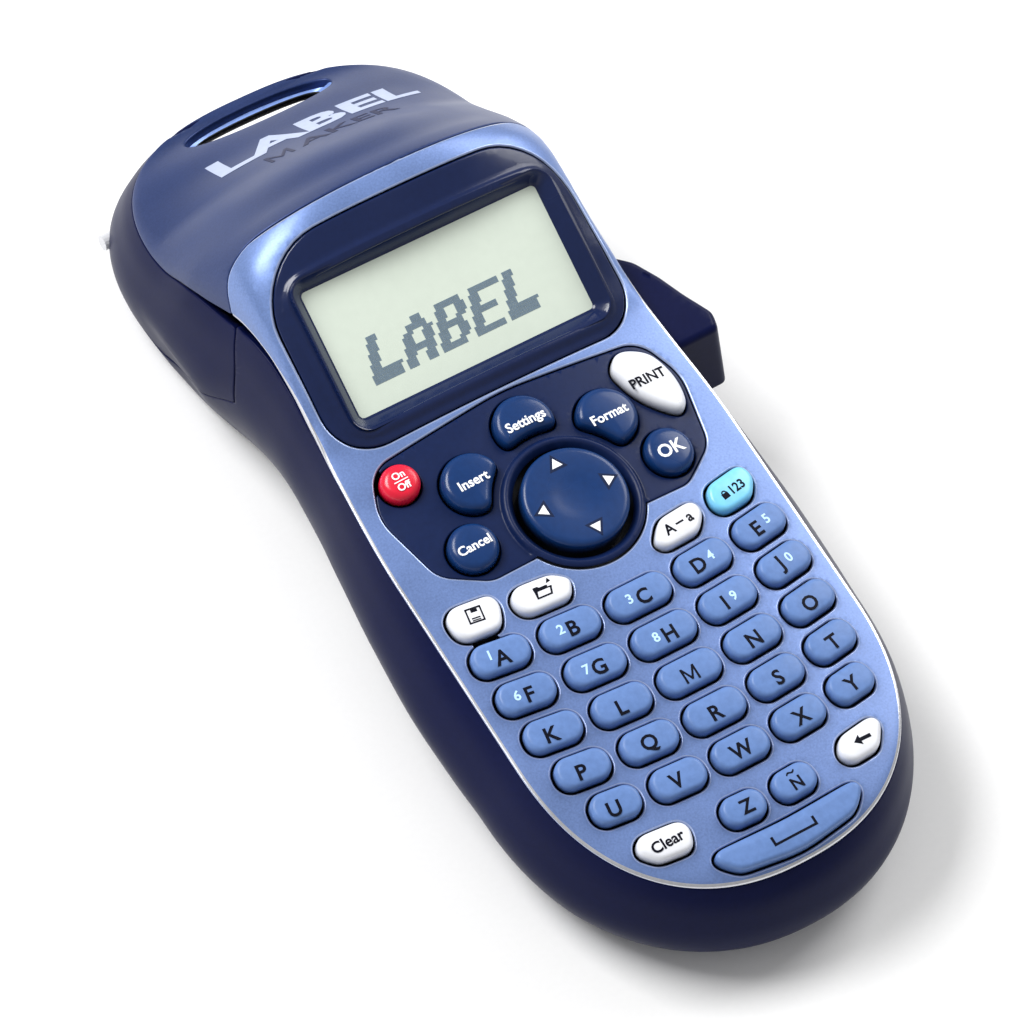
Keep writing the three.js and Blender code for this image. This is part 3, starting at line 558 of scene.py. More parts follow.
CONTROL = material("control key", linear(14, 48, 98), 0.27, vary=0.1, bump=0.06, coat=0.1, specular=0.3)
LEGEND_DARK = material("dark legend", linear(6, 8, 22), 0.5, vary=0.1, specular=0.1)
LEGEND_PALE = material("pale legend", linear(186, 222, 250), 0.45, vary=0.05)
LEGEND_WHITE = material("white legend", linear(245, 247, 250), 0.45, vary=0.03)
HOOD_DARK = material("hood dark legend", linear(12, 20, 60), 0.45, vary=0.06, specular=0.2)
HOOD_PALE = material("hood pale legend", linear(168, 178, 204), 0.4, 0.2, vary=0.05, specular=0.3)
# Painted light: a lighter copy of the face lacquer for the walls of the label exit recess, which lie in shade.
EXIT_WALL_PAINTED_LIGHT = material("exit recess lacquer, painted lighter", linear(128, 158, 222), 0.35, 0.2, vary=0.1)
# Painted shade: dark ink standing for the shade inside the engraved grooves round the cursor pad's arrows.
GROOVE_SHADE = material("engraved line", linear(8, 26, 60), 0.5, vary=0.1, specular=0.2)
LCD = material("display film", linear(208, 218, 205), 0.35, vary=0.02, grain=500, bump=0.03, coat=0.15,
               specular=0.2)
LCD_DOT = material("display dot", linear(104, 122, 136), 0.4, vary=0.08)
# Black plastic for the print head; also painted shade on the walls of the face plate's openings and inside the
# label slit.
BLACK_AND_SHADE = material("black plastic and painted shade", linear(14, 15, 18), 0.5, vary=0.15, bump=0.2)
STEEL = material("steel", linear(176, 178, 182), 0.28, 1.0, vary=0.08, bump=0.12)
ROLLER = material("roller rubber", linear(34, 34, 36), 0.85, vary=0.15, bump=0.4)
BOARD = material("circuit board", linear(10, 18, 34), 0.5, vary=0.15)
CELL = material("cell sleeve", linear(48, 52, 60), 0.35, vary=0.1)
CASSETTE = material("cassette shell", linear(210, 212, 214), 0.45, vary=0.05)
WHITE_NUB = material("pale nub", linear(205, 206, 210), 0.35, vary=0.05)

# ---- where the pieces of the face lie ----
PANEL_HALF = [(21, 32.2, 5), (29, 37.5, 6), (32.3, 52, 10), (28.6, 61, 6)]
BEZEL = rounded([(-32.2, 64.1, 9), (32.2, 64.1, 9), (31.4, 102.6, 14), (-31.4, 102.6, 14)], 10)
WINDOW_HALF, WINDOW_LOW, WINDOW_HIGH, WINDOW_RADIUS = 27.3, 67.4, 95.2, 3.2


def window_outline(inset, low, high, steps):
    """The display window between two levels, moved inward."""
    return rounded_box(WINDOW_HALF - inset, low + inset, high - inset, max(WINDOW_RADIUS - inset, 0.5), steps)


def merged(a, b):
    """The outline round two overlapping outlines, evenly sampled."""
    made = delaunay_2d_cdt([Vector(p) for p in a] + [Vector(p) for p in b],
                           [], [list(range(len(a))), [len(a) + i for i in range(len(b))]], 1, 1e-5)
    flat, faces = np.array([tuple(v) for v in made[0]]), np.array(made[2])
    loop = max(boundary_loops(faces), key=len)
    return flat[loop]


PANEL_CORNERS = [(-21, 32.2, 5), *PANEL_HALF, (0, 63.3, 60), *[(-x, y, r) for x, y, r in PANEL_HALF[:0:-1]]]
PANEL = resampled(merged(rounded(PANEL_CORNERS, 8), circle(NAV_RING, 180, 0, NAV_Y)), 0.6)

# ---- keys and buttons ----
# Widths from the top row down: in the middle column, beside it, and at the sides.
KEY_WIDTHS = ((12.7, 12.7, 12.4, 12, 11.2), (11.5, 11.5, 11.3, 11, 10.6), (11, 11, 10.8, 10.3, 9.4))


def cap_of(name, outline, x, y, turn=0, colour=KEY, slot="letter_key", height=KEY_HEIGHT, edge=1.0):
    """A key or button: its outline, middle, turn, finish, height over the face and edge radius."""
    return dict(name=name, outline=outline, x=x, y=y, turn=turn, colour=colour, slot=slot, height=height,
                edge=edge)


def letter_key(name, width, depth, radius, x, y, turn):
    outline = rounded_box(width / 2, -depth / 2, depth / 2, radius, 10)
    return cap_of(name, turned(outline, x, y, turn), x, y, turn)


def letter_keys():
    for row, letters in enumerate(("abcde", "fghij", "klmno", "pqrst", "uvwxy")):
        row_y = ROW_PITCH * (2 - row)
        squeeze = 1 - 0.08 * ((19 - row_y) / 34) ** 3
        for column, letter in enumerate(letters):
            x = COLUMN_X[column] * squeeze
            yield letter_key(f"key_{letter}", KEY_WIDTHS[abs(column - 2)][row], KEY_DEPTH, 2.8,
                             x, row_y + SMILE * x * x, math.atan(2 * SMILE * x))


def bitten_circle(x, y, radius):
    """A round button whose side toward the cursor pad follows the pad's ring."""
    outline = circle(radius, 120, x, y)
    from_pad = outline - (0, NAV_Y)
    length = np.hypot(*from_pad.T)[:, None]
    return softened(resampled(from_pad * np.maximum(NAV_RING + 1.7, length) / length + (0, NAV_Y), 0.35), 16)


SPACE = rounded([(-12.2, -36.4, 2), (0, -38.1, 30), (12.2, -36.4, 2), (17.8, -30.9, 1.4), (0, -31.6, 90),
                 (-17.8, -30.9, 1.4)], 12)
SPACE = softened(resampled(SPACE, 0.4), 14)
LEAF = [(20.4, 57.6), (22.6, 59.9), (25.6, 59.6), (28.9, 57), (30.4, 51.8), (29.8, 46.8), (27.7, 44.9),
        (24.8, 47), (22, 50.8), (20.6, 54.6)]


def closed_curve(points, steps=12):
    """A smooth closed curve through the points (Catmull-Rom)."""
    p = np.array(points, float)
    t = np.arange(steps)[:, None] / steps
    curve = []
    for i in range(len(p)):
        a, b, c, d = (p[(i + k) % len(p)] for k in (-1, 0, 1, 2))
        curve.append(0.5 * (2 * b + (c - a) * t + (2 * a - 5 * b + 4 * c - d) * t**2
                            + (3 * b - a - 3 * c + d) * t**3))
    return np.vstack(curve)


WHITE_KEYS = [
    ("key_save", WHITE, "white_key", -27.9, 27.2, -0.17,
     [(-32.7, 24.1, 3), (-24.5, 23.1, 1.8), (-22.6, 27.4, 1.6), (-23.3, 29.9, 1.3), (-33.0, 31.3, 2.6)]),
    ("key_recall", WHITE, "white_key", -14.9, 25.5, -0.08,
     [(-20.8, 22.8, 3), (-10.7, 22.0, 1.5), (-8.9, 25.5, 0.9), (-12.0, 28.0, 2.2), (-20.9, 29.0, 2.6)]),
    ("key_caps", WHITE, "white_key", 14.3, 25.5, 0.08,
     [(9.4, 22.1, 1.6), (16.9, 22.5, 2), (19.7, 25.6, 2.2), (19.4, 28.8, 1.8), (11.2, 28.0, 2.6),
      (7.9, 24.2, 1)]),
    ("key_numlock", CYAN, "cyan_key", 27.1, 27.3, 0.17,
     [(22.4, 23.3, 2.4), (29.8, 24.2, 2.2), (32.3, 27.6, 2.2), (31.6, 31.2, 1.8), (22.6, 29.7, 2.4),
      (21.7, 26.4, 2)]),
    ("key_clear", WHITE, "white_key", -21.3, -25.2, -0.1,
     [(-24.0, -28.0, 1.6), (-17.4, -28.9, 1.4), (-16.0, -25.4, 1.2), (-16.6, -22.9, 2), (-25.6, -21.9, 2.2),
      (-26.9, -24.9, 1.2)]),
    ("key_backspace", WHITE, "white_key", 20.4, -25.0, 0.12,
     [(16.0, -28.7, 2.4), (22.8, -28.1, 1.8), (25.9, -24.0, 1.1), (25.0, -21.9, 1.6), (16.8, -23.0, 2.8),
      (15.0, -25.9, 1.6)]),
]

CAPS = [*letter_keys(), letter_key("key_z", 8.6, 5.9, 2.7, -5.7, -26.5, -0.05),
        letter_key("key_n_tilde", 8.6, 5.9, 2.7, 5.1, -26.5, 0.05),
        cap_of("key_space", SPACE, 0, -33.9, height=1.5, edge=0.9)]
for name, colour, slot, x, y, turn, corners in WHITE_KEYS:
    outline = softened(resampled(rounded(corners, 8), 0.35), 10)
    CAPS.append(cap_of(name, outline, x, y, turn, colour, slot, edge=1.1))


def button(name, outline, x, y, colour=CONTROL, slot="control_key", height=KEY_HEIGHT + 0.2, edge=1.5):
    return cap_of(f"button_{name}", outline, x, y, 0, colour, slot, height, edge)


BUTTONS = [button("on_off", circle(3.75, 96, -25.8, 56.1), -25.8, 56.1, RED, "red_key", 2.1, 1.7)]
BUTTONS += [button(name, bitten_circle(x, y, 5.9), x, y)
            for name, x, y in (("insert", -14.4, 49.9), ("settings", 0, 55.4), ("format", 14.4, 49.9))]
BUTTONS += [button(name, circle(4.7, 96, x, 39), x, 39) for name, x in (("cancel", -21), ("ok", 21))]
BUTTONS.append(button("print", closed_curve(LEAF[::-1]), 25.6, 52.6, WHITE, "white_key"))
CAP_STEPS, CAP_DRAFT, CAP_DOME = 7, 0.06, 0.16


def cap_rings(cap):
    """Levels of a cap: straight sides, a round edge and a faintly domed top that leans with the face."""
    outline = oriented(resampled(cap["outline"], 0.36))
    edge, height = cap["edge"], cap["height"]
    middle = outline.mean(axis=0)
    base = float(plan_height(cap["x"], cap["y"])[0])
    slope = -2 * CROWN * cap["x"]

    def level(points, z):
        return np.c_[points, base + z + slope * (points[:, 0] - cap["x"])]

    rings = [at_level(outline, KEY_FOOT + 0.1), level(grown(outline, -CAP_DRAFT), height - edge * 1.05)]
    for k in range(1, CAP_STEPS + 1):
        a = math.pi / 2 * k / CAP_STEPS
        inner = grown(outline, -CAP_DRAFT - edge * (1 - math.cos(a)))
        rings.append(level(inner, height - edge * (1 - math.sin(a))))
    inner = grown(outline, -CAP_DRAFT - edge)
    for share, rise in ((0.86, 0.06), (0.6, 0.12), (0.3, CAP_DOME)):
        rings.append(level(middle + (inner - middle) * share, height + rise))

    def top(p):
        """Height of the cap's top, for what is printed on it."""
        share = np.clip(np.hypot(*((p - middle) / np.ptp(outline, axis=0)).T) * 2, 0, 1)
        return base + height + CAP_DOME * (1 - share**2) + slope * (p[:, 0] - cap["x"])

    cap["top"] = top
    return rings


for cap in CAPS + BUTTONS:
    verts, faces = lofted(cap_rings(cap))
    cap["body"] = cap["name"] + "_cap"
    piece(cap["name"] + "_top", verts, faces, cap["colour"], cap["body"], cap["slot"], cap["name"])

# ---- the cursor pad ----
NAV_PROFILE = [(9.9, KEY_FOOT + 0.1), (9.9, 1.5), (9.86, 1.75), (9.7, 2.05), (9.45, 2.28), (9.1, 2.42),
               (8.6, 2.5), (7, 2.52), (5.2, 2.5), (4.2, 2.44), (3.4, 2.34), (2.4, 2.26), (1.2, 2.22),
               (0.4, 2.21)]
verts, faces = lofted([at_level(circle(r, 96, 0, NAV_Y), z) for r, z in NAV_PROFILE])
piece("nav_disc_top", verts, faces, CONTROL, "nav_disc_cap", "control_key", "nav_disc")


# ---- the face plate ----
# The seam between hood and body: how far along the deck at each level, and how low farther along.
SEAM_TOP = smooth_line([(-50, 76), (-19, 90.8), (-11, 94.4), (-5.6, 98.1), (1.3, 103.2), (4.3, 105.7),
                        (8, 107.3), (14.7, 107), (40, 107)])


def bisected(low, high, beyond):
    """Where each value between low and high first lies beyond the line."""
    for _ in range(40):
        middle = (low + high) / 2
        past = beyond(middle)
        high, low = np.where(past, middle, high), np.where(past, low, middle)
    return middle


def drawn_seam(offset, limit, count=60):
    """The drawn seam behind the display, from the right rim to the left, moved along the deck."""
    wide = np.linspace(limit, -limit, count)

    def past(y):
        return y > SEAM_TOP(on_top(np.c_[wide * rim_half(y), y])[:, 2]) + offset

    y = bisected(np.full(count, 90.0), np.full(count, 110.0), past)
    return np.c_[wide * rim_half(y), y]


RIM_LIMIT = 1 + SPREAD - 0.012
FACE_SEAM = 0.4  # the face plate ends this far before the seam


def drawn_rim_side(limit, y_from, y_to, count=90):
    """The drawn rim along the right side."""
    y = np.linspace(y_from, y_to, count)
    return np.c_[limit * rim_half(y), y]


def drawn_end(limit, half, length, power, start, stop, y, count=90):
    """The drawn rim round the tail or head, between two angles."""
    a = np.linspace(start, stop, count)
    unit = np.c_[np.cos(a), np.sin(a)]
    return unit * (limit * reach(unit, half, length, power))[:, None] + (0, y)


def face_outline(limit):
    """The face plate's drawn outline, or a line inside it for a smaller limit."""
    seam = drawn_seam(-FACE_SEAM, limit)
    right = drawn_rim_side(limit, seam[0, 1], 0)
    tail = drawn_end(limit, RIM_HALF, TAIL_RIM, RIM_POWER, 0, -math.pi, 0)
    left = drawn_rim_side(limit, 0, seam[-1, 1]) * (-1, 1)
    return oriented(resampled(np.vstack([seam, left[::-1], tail[::-1], right[::-1]])[::-1], 0.8))


bands = [face_outline(share) for share in (1.215, 1.19, 1.17, 1.1, 1.07, 1.03)]


def rim_share(y):
    """Where the silver edge, silver paint brightened as a painted highlight, begins: it thins out toward the
    hood.
    """
    return 1.14 + 0.09 * ease(y, 66, 92)


silver_and_highlight_line = face_outline(1.0)
foot, offset, _, _ = from_spine(silver_and_highlight_line)
silver_and_highlight_line = foot + offset * rim_share(silver_and_highlight_line[:, 1])[:, None]
EDGE_LIP = 0.35  # rounding of the edges round the openings


def well(cap, gap):
    """The opening for a key or button."""
    return resampled(grown(resampled(cap["outline"], 0.36), gap), 0.42)


holes = [spread_out(well(cap, WELL_GAP + EDGE_LIP)) for cap in CAPS]
holes.append(spread_out(grown(PANEL, 0.15 + EDGE_LIP)))
holes.append(spread_out(grown(resampled(BEZEL, 0.6), 0.12 + EDGE_LIP)))
holes = [oriented(h) for h in holes]
extra = np.vstack([grid((-46, -50), (46, 108), 1.7), *bands])
flat, faces = triangulated(face_outline(RIM_LIMIT), holes, extra, [np.vstack([silver_and_highlight_line, silver_and_highlight_line[:1]])])
near_rim = ~inside(flat[faces].mean(axis=1), silver_and_highlight_line)
verts, closed, kinds = thickened(on_top(flat), faces, 1.5, EDGE_LIP)
# Paint by kind of face: lacquer in front, and the lighter edge paint as a painted highlight on the rounded
# edges.
paint_and_painted_light = np.minimum(kinds, 2) + (np.array(kinds) >= 2)
# A band along the rim gets the silver paint, brightened as a painted highlight.
paint_and_painted_light[:len(faces)][near_rim] = 2
# Below the rounded edges the walls of the openings, and the back, are black: painted shade in the gaps round
# keys, panel and bezel.
piece("face_plate", verts, closed, [FACE, EDGE_HIGHLIGHT, SILVER_AND_HIGHLIGHT, BLACK_AND_SHADE], "body", "face_paint", "front_case",
      face_material=paint_and_painted_light)

# ---- the control panel ----
PANEL_DROP = 0.35
ring_height = smooth_line([(0, -0.7), (10.6, -0.7), (11.2, -0.2), (11.8, 0.55), (12.3, 0.8), (12.75, 0.65),
                           (13.05, 0.15), (13.25, -PANEL_DROP), (14, -PANEL_DROP), (200, -PANEL_DROP)])
loop = oriented(grown(PANEL, -LIP))
holes = [oriented(well(cap, WELL_GAP + LIP - 0.1)) for cap in BUTTONS]
holes.append(circle(10.75 + LIP, 150, 0, NAV_Y))
rings = [circle(r, 160, 0, NAV_Y) for r in (11.4, 11.7, 12.0, 12.3, 12.55, 12.8, 13.0, 13.15, 13.3, 13.6)]
flat, faces = triangulated(loop, holes, np.vstack([grid((-34, 24), (34, 66), 1.3), *rings]))
height = plan_height(*flat.T) + ring_height(np.hypot(flat[:, 0], flat[:, 1] - NAV_Y))
shell("control_panel_plate", np.c_[flat, height], faces, 1.3, LIP, PANEL_BLUE, "body", "panel_navy",
      "control_panel")


# ---- the display and its bezel ----
def window_distance(points):
    """Distance outside the display window."""
    middle, half_y = (WINDOW_LOW + WINDOW_HIGH) / 2, (WINDOW_HIGH - WINDOW_LOW) / 2
    dx = np.abs(points[:, 0]) - (WINDOW_HALF - WINDOW_RADIUS)
    dy = np.abs(points[:, 1] - middle) - (half_y - WINDOW_RADIUS)
    return np.hypot(np.maximum(dx, 0), np.maximum(dy, 0)) + np.minimum(np.maximum(dx, dy), 0) - WINDOW_RADIUS


lip_height = smooth_line([(-1, 0.3), (0, 0.35), (0.5, 0.55), (1.0, 0.45), (1.6, 0.1), (2.2, -0.1), (60, -0.1)])
loop = oriented(grown(resampled(BEZEL, 0.7), -0.6))
window = resampled(window_outline(0, WINDOW_LOW, WINDOW_HIGH, 6), 0.7)
rings = [grown(window, d) for d in (0.25, 0.5, 0.8, 1.1, 1.4, 1.7, 2.1, 2.6)]
flat, faces = triangulated(loop, [window], np.vstack([grid((-34, 62), (34, 106), 1.6), *rings]))
height = plan_height(*flat.T) + lip_height(window_distance(flat))
shell("bezel_plate", np.c_[flat, height], faces, 1.4, 0.5, BEZEL_NAVY, "body", "bezel_navy", "display_bezel")

LCD_FRAME = Matrix.Translation((0, LCD_FOOT, 0)) @ Matrix.Rotation(LCD_TILT, 4, "X")


def on_display(points):
    points = np.asarray(points, float)
    m = np.array(LCD_FRAME)
    return points @ m[:3, :3].T + m[:3, 3]


def matched(distances):
    """Window outlines on the display moved inward, with points that lie opposite each other."""
    low, high = ((y - LCD_FOOT) / math.cos(LCD_TILT) for y in (WINDOW_LOW, WINDOW_HIGH))
    return [subdivided(window_outline(d, low, high, 10), 11) for d in distances]


def subdivided(outline, arc, parts=8):
    """Straight stretches between rounded corners get extra points."""
    points = []
    for i, p in enumerate(outline):
        points.append(p)
        if i % arc == arc - 1:
            q = outline[(i + 1) % len(outline)]
            points += [p + (q - p) * k / parts for k in range(1, parts)]
    return np.array(points)


# The bevel runs from the front of the window down and back up behind.
BEVEL_INSETS, BEVEL_LEVELS = (-0.35, 0.1, 1.7, 1.9, 2.6, -0.35), (-0.15, -0.3, -2.3, -2.6, -2.9, -2.9)
rings = [on_display(at_level(loop, z)) for loop, z in zip(matched(BEVEL_INSETS), BEVEL_LEVELS)]
piece("window_bevel", np.vstack(rings), closed_band(rings), BEZEL_NAVY, "body", "bezel_navy", sharp=50)
film, = matched((1.6,))
verts, faces = lofted([on_display(at_level(film, z)) for z in (-3.6, -2.75)])
piece("display_film", verts, faces, LCD, "body", "lcd_glass", "lcd_module", sharp=40)

GLYPHS = {"L": "110000 110000 110000 110000 110000 111111 111111",
          "A": "001100 011110 110011 110011 111111 110011 110011",
          "B": "111110 110011 110011 111110 110011 110011 111110",
          "E": "111111 110000 110000 111110 110000 110000 111111"}
DOT_X, DOT_Y = 0.52, 0.62


def pixel_word(word, x0, y0, z):
    """A leaning word of small blocks on the display, two across and two high for each cell of a letter."""
    verts, faces = [], []
    for place, letter in enumerate(word):
        for row, bits in enumerate(GLYPHS[letter].split()):
            for column in (c for c, bit in enumerate(bits) if bit == "1"):
                for sub in range(4):
                    level = (6 - row) * 2 + sub // 2
                    x = x0 + (place * 14 + column * 2 + sub % 2 + level // 3) * DOT_X
                    y = y0 + level * DOT_Y
                    start, w, h = len(verts), DOT_X - 0.04, DOT_Y - 0.04
                    for rise in (0, 0.05):
                        verts += [(x + dx, y + dy, z + rise) for dx, dy in ((0, 0), (w, 0), (w, h), (0, h))]
                    quads = [(3, 2, 1, 0), (4, 5, 6, 7), (0, 1, 5, 4), (1, 2, 6, 5), (2, 3, 7, 6), (3, 0, 4, 7)]
                    faces += [tuple(start + i for i in q) for q in quads]
    return on_display(verts), faces


verts, faces = pixel_word("LABEL", -19.6, (73.6 - LCD_FOOT) / math.cos(LCD_TILT), -2.76)
piece("display_word", verts, faces, LCD_DOT, "body", "lcd_glass", sharp=30)

# ---- the hood's cover ----
def hood_outline(limit):
    """The hood's drawn outline, or a line inside it for a smaller limit."""
    seam = drawn_seam(SEAM_GAP + LIP, limit)
    left = drawn_rim_side(limit, seam[-1, 1], HEAD_SPINE) * (-1, 1)
    head = drawn_end(limit, *HEAD_RIM, HEAD_POWER, math.pi, 0, HEAD_SPINE, 140)
    right = drawn_rim_side(limit, HEAD_SPINE, seam[0, 1])
    return oriented(resampled(np.vstack([seam, left, head, right]), 0.8))


EXIT_Y, SLIT_Y = 142.7, 142.2


def oval(half, deep, y, count=140):
    a = np.arange(count) * 2 * math.pi / count
    c, s = np.cos(a), np.sin(a)
    return np.c_[half * np.sign(c) * np.abs(c) ** 0.9, y + deep * np.sign(s) * np.abs(s) ** 0.9]


def exit_oval(grow):
    return oval(15.6 + grow, 3.0 + grow, EXIT_Y)


def slit(grow):
    return oval(13.2 + grow, 1.9 + grow, SLIT_Y)


bands = [hood_outline(w) for w in (1.21, 1.18, 1.14, 1.09, 1.04)]
around = [spread_out(exit_oval(g)) for g in (1.0, 1.5, 2.2)]
flat, faces = triangulated(hood_outline(RIM_LIMIT), [oriented(spread_out(exit_oval(0.6)))],
                           np.vstack([grid((-50, 90), (50, 158), 1.6), *bands, *around]))
shell("hood_top", on_top(flat), faces, 1.8, LIP, HOOD, "hood", "hood_paint", "hood_cover")

# The recess of the label exit: outlines with their depths under the face, down through the slit and back up.
levels = [(exit_oval(0.45), 0.25), (exit_oval(0.25), 0.75), (exit_oval(-0.1), 1.5), (exit_oval(-0.5), 2.1),
          (slit(0.4), 2.5), (slit(0.0), 3.0), (slit(-0.1), 4.6), (slit(0.6), 4.6), (exit_oval(0.5), 3.4)]
rings = [np.c_[o, plan_height(*o.T) - d] for o, d in levels]
# The upper walls of the recess take the lighter lacquer, painted light where they lie in shade.
kinds = np.repeat([0] * 4 + [1] * 5, len(rings[0]))
# The slit's walls and the floor closing it below are black: painted shade inside the slot.
piece("exit_recess", np.vstack(rings), closed_band(rings, flipped=True), [EXIT_WALL_PAINTED_LIGHT, BLACK_AND_SHADE], "hood",
      "hood_paint", face_material=kinds)

# ---- side walls: the hood's skirt and the tub ----
SEAM_LOW = smooth_line([(60, 6), (90.8, -19), (99.6, -28.5), (107.5, -33.6), (115.7, -36.2), (133, -36.5),
                        (145, -36.5), (152, -30), (160, -20)])
DENT = dict(along=107.0, z=-32.0, wide=7.5, tall=3.6, deep=0.9)


def seam_wall(side):
    """The seam on the right wall as (along, down): down from the paint line, then toward the head tip."""
    gap = side * (SEAM_GAP + LIP)

    def past_top(along):
        p = wall_point(along, down)
        return p[:, 1] > SEAM_TOP(p[:, 2]) + gap

    def past_low(down):
        p = wall_point(along, down)
        return p[:, 2] < SEAM_LOW(p[:, 1]) + gap

    down = np.linspace(0, 0.7, 120)
    along = bisected(np.full(120, 70.0), np.full(120, 111.9), past_top)
    p = wall_point(along, down)
    first = np.c_[along, down][p[:, 2] > SEAM_LOW(p[:, 1]) + gap]
    along = np.linspace(first[-1, 0] + 0.6, HEAD_TIP, 150)
    return first, np.c_[along, bisected(np.zeros(150), np.ones(150), past_low)]


def walls(flat, along, side):
    """Points of the drawn side walls on the object, with the finger dent near the head; side is 1 or -1."""
    p = wall_point(along, np.clip(-flat[:, 1] / WALL_MM, 0, 1))
    dent = np.exp(-((along - DENT["along"]) / DENT["wide"]) ** 4 - ((p[:, 2] - DENT["z"]) / DENT["tall"]) ** 4)
    p[:, 0] -= DENT["deep"] * dent
    p[:, 0] *= side
    return p


# The skirt: the drawing plane runs round the head tip, right wall on the left.
edge = np.vstack(seam_wall(1))
edge = np.c_[edge[:, 0] - HEAD_TIP, -edge[:, 1] * WALL_MM]
edge[:, 1] = np.minimum(edge[:, 1], -0.02 * WALL_MM)
loop = oriented(resampled(np.vstack([edge, edge[::-1] * (-1, 1)]), 1.0))
flat, faces = triangulated(loop, [], grid((-90, -30), (90, 0), 1.5))
surface = walls(flat, HEAD_TIP - np.abs(flat[:, 0]), np.where(flat[:, 0] < 0, 1, -1))
shell("hood_side", surface, faces, 1.8, LIP, NAVY, "hood", "navy_shell", "hood_skirt")

# The tub: the drawing plane runs round the tail tip, left wall on the left.
END_Y = 133.0
first, lower = seam_wall(-1)
end_at = lower[np.argmax(wall_point(*lower.T)[:, 1] > END_Y)]
lower = lower[lower[:, 0] <= end_at[0]]
bottom = np.linspace(end_at[0], TAIL_TIP, 260)
top_run = np.c_[np.linspace(TAIL_TIP, first[0, 0], 200), np.full(200, 0.012)]
right_loop = np.vstack([np.c_[bottom, np.ones(260)][::-1][:-1], lower[::-1], first[::-1], top_run[::-1][1:]])
right_loop = np.c_[right_loop[:, 0] - TAIL_TIP, -right_loop[:, 1] * WALL_MM]
left_loop = (right_loop * (-1, 1))[::-1]
loop = oriented(np.vstack([right_loop[:-1], left_loop[:-1]]))
NOTCH_DOWN = 0.72  # foot of the opening for the lever, as a share of the way down the wall
notch = np.array([(54.6, -0.2), (54.6, 0.06), (49.0, NOTCH_DOWN), (80.4, NOTCH_DOWN), (80.4, -0.2)])
notch = oriented(np.c_[notch[:, 0] - TAIL_TIP, -notch[:, 1] * WALL_MM])
flat, faces = triangulated(loop, [resampled(notch, 1.0)], grid((-200, -26), (200, 0), 1.6))
wall = walls(flat, np.abs(flat[:, 0]) + TAIL_TIP, np.where(flat[:, 0] < 0, -1, 1))
foot_right = wall_point(bottom, np.ones(260))[:, :2]
foot_loop = oriented(np.vstack([foot_right, (foot_right[::-1] * (-1, 1))[1:]]))
DOOR_HALF, DOOR_FROM, DOOR_TO = 31.0, -21.0, 36.0
door_hole = rounded_box(DOOR_HALF, DOOR_FROM, DOOR_TO, 3)
SCREWS = [(-28.5, 46), (28.5, 46), (-17, -32), (17, -32), (-27, 104), (27, 104)]
floor_holes = [resampled(grown(door_hole, 0.3), 1.0)] + [circle(2.7, 32, x, y) for x, y in SCREWS]
flat2, faces2 = triangulated(foot_loop, [oriented(h) for h in floor_holes], grid((-48, -60), (48, 136), 2.4))
floor_part = np.c_[flat2, floor_line(flat2[:, 1])]
both, which = welded(np.vstack([wall, floor_part]), 3)
joined = which[np.vstack([faces, faces2[:, ::-1] + len(wall)])]
joined = joined[np.all(joined != np.roll(joined, 1, 1), axis=1)]
shell("tub", both, joined, 1.9, LIP, NAVY, "body", "navy_shell", "back_case")


# ---- the battery door ----
def door_groove(x, y):
    """Depth of the grip grooves near the door's free end."""
    wave = 0.5 + 0.5 * np.cos((y + 12.25) * 2 * math.pi / 3)
    return 0.7 * np.clip(wave * 1.6 - 0.3, 0, 1) * (np.abs(x) < 8.2) * (y > -18) * (y < -6.4)


loop = resampled(grown(oriented(door_hole), -0.3), 0.8)
ribs = [np.c_[np.linspace(-9, 9, 46), np.full(46, y)] for y in np.arange(-18.4, -5.6, 0.375)]
flat, faces = triangulated(loop, [], np.vstack([grid((-32, -22), (32, 37), 2.2), *ribs]))
underside = np.c_[flat, floor_line(flat[:, 1]) + door_groove(*flat.T)]
shell("door_plate", underside, faces[:, ::-1], 1.9, LIP, NAVY, "door", "navy_shell", "battery_door")

# ---- the screws in the back ----
SCREW_PROFILE = [(2.55, 3.2), (2.55, 1.6), (2.4, 1.3), (1.9, 1.15), (1.0, 1.05), (0.9, 1.5), (0.2, 1.6)]
for number, (x, y) in enumerate(SCREWS):
    level = float(floor_line(y))
    verts, faces = lofted([at_level(circle(r, 32, x, y), level + z)[::-1] for r, z in SCREW_PROFILE])
    piece(f"screw_{number}", verts, faces, STEEL, "body", "steel", sharp=35)

# ---- the cutter lever ----
LEVER_OUTLINE = rounded([(25.8, 91, 2.4), (26, 80, 2), (36, 57.6, 0.8), (45.0, 57.7, 1.2), (45.9, 61.2, 2),
                         (43.2, 66.6, 6), (41, 71.9, 4), (38.4, 76.6, 4), (35.5, 79.2, 1.5), (31, 79.4, 1),
                         (30.9, 91, 2.4)], 8)
LEVER_FOOT, LEVER_TOP, LEVER_EDGE = -19.4, -4.4, 1.1
outline = softened(resampled(LEVER_OUTLINE, 0.4), 2)
rings = [at_level(grown(outline, -LEVER_EDGE * (1 - math.sin(a))), LEVER_FOOT + LEVER_EDGE * (1 - math.cos(a)))
         for a in np.linspace(0, math.pi / 2, 6)]
rings += [at_level(grown(outline, -LEVER_EDGE * (1 - math.cos(a))), LEVER_TOP - LEVER_EDGE * (1 - math.sin(a)))
          for a in np.linspace(0, math.pi / 2, 8)]
flat, cap_faces = triangulated(oriented(grown(outline, -LEVER_EDGE)), [], grid((24, 56), (48, 92), 2.0))
verts, faces = lofted(rings, closed_low=False, closed_high=False)
start = len(verts)
verts = np.vstack([verts, at_level(flat, LEVER_TOP), at_level(flat, LEVER_FOOT)])
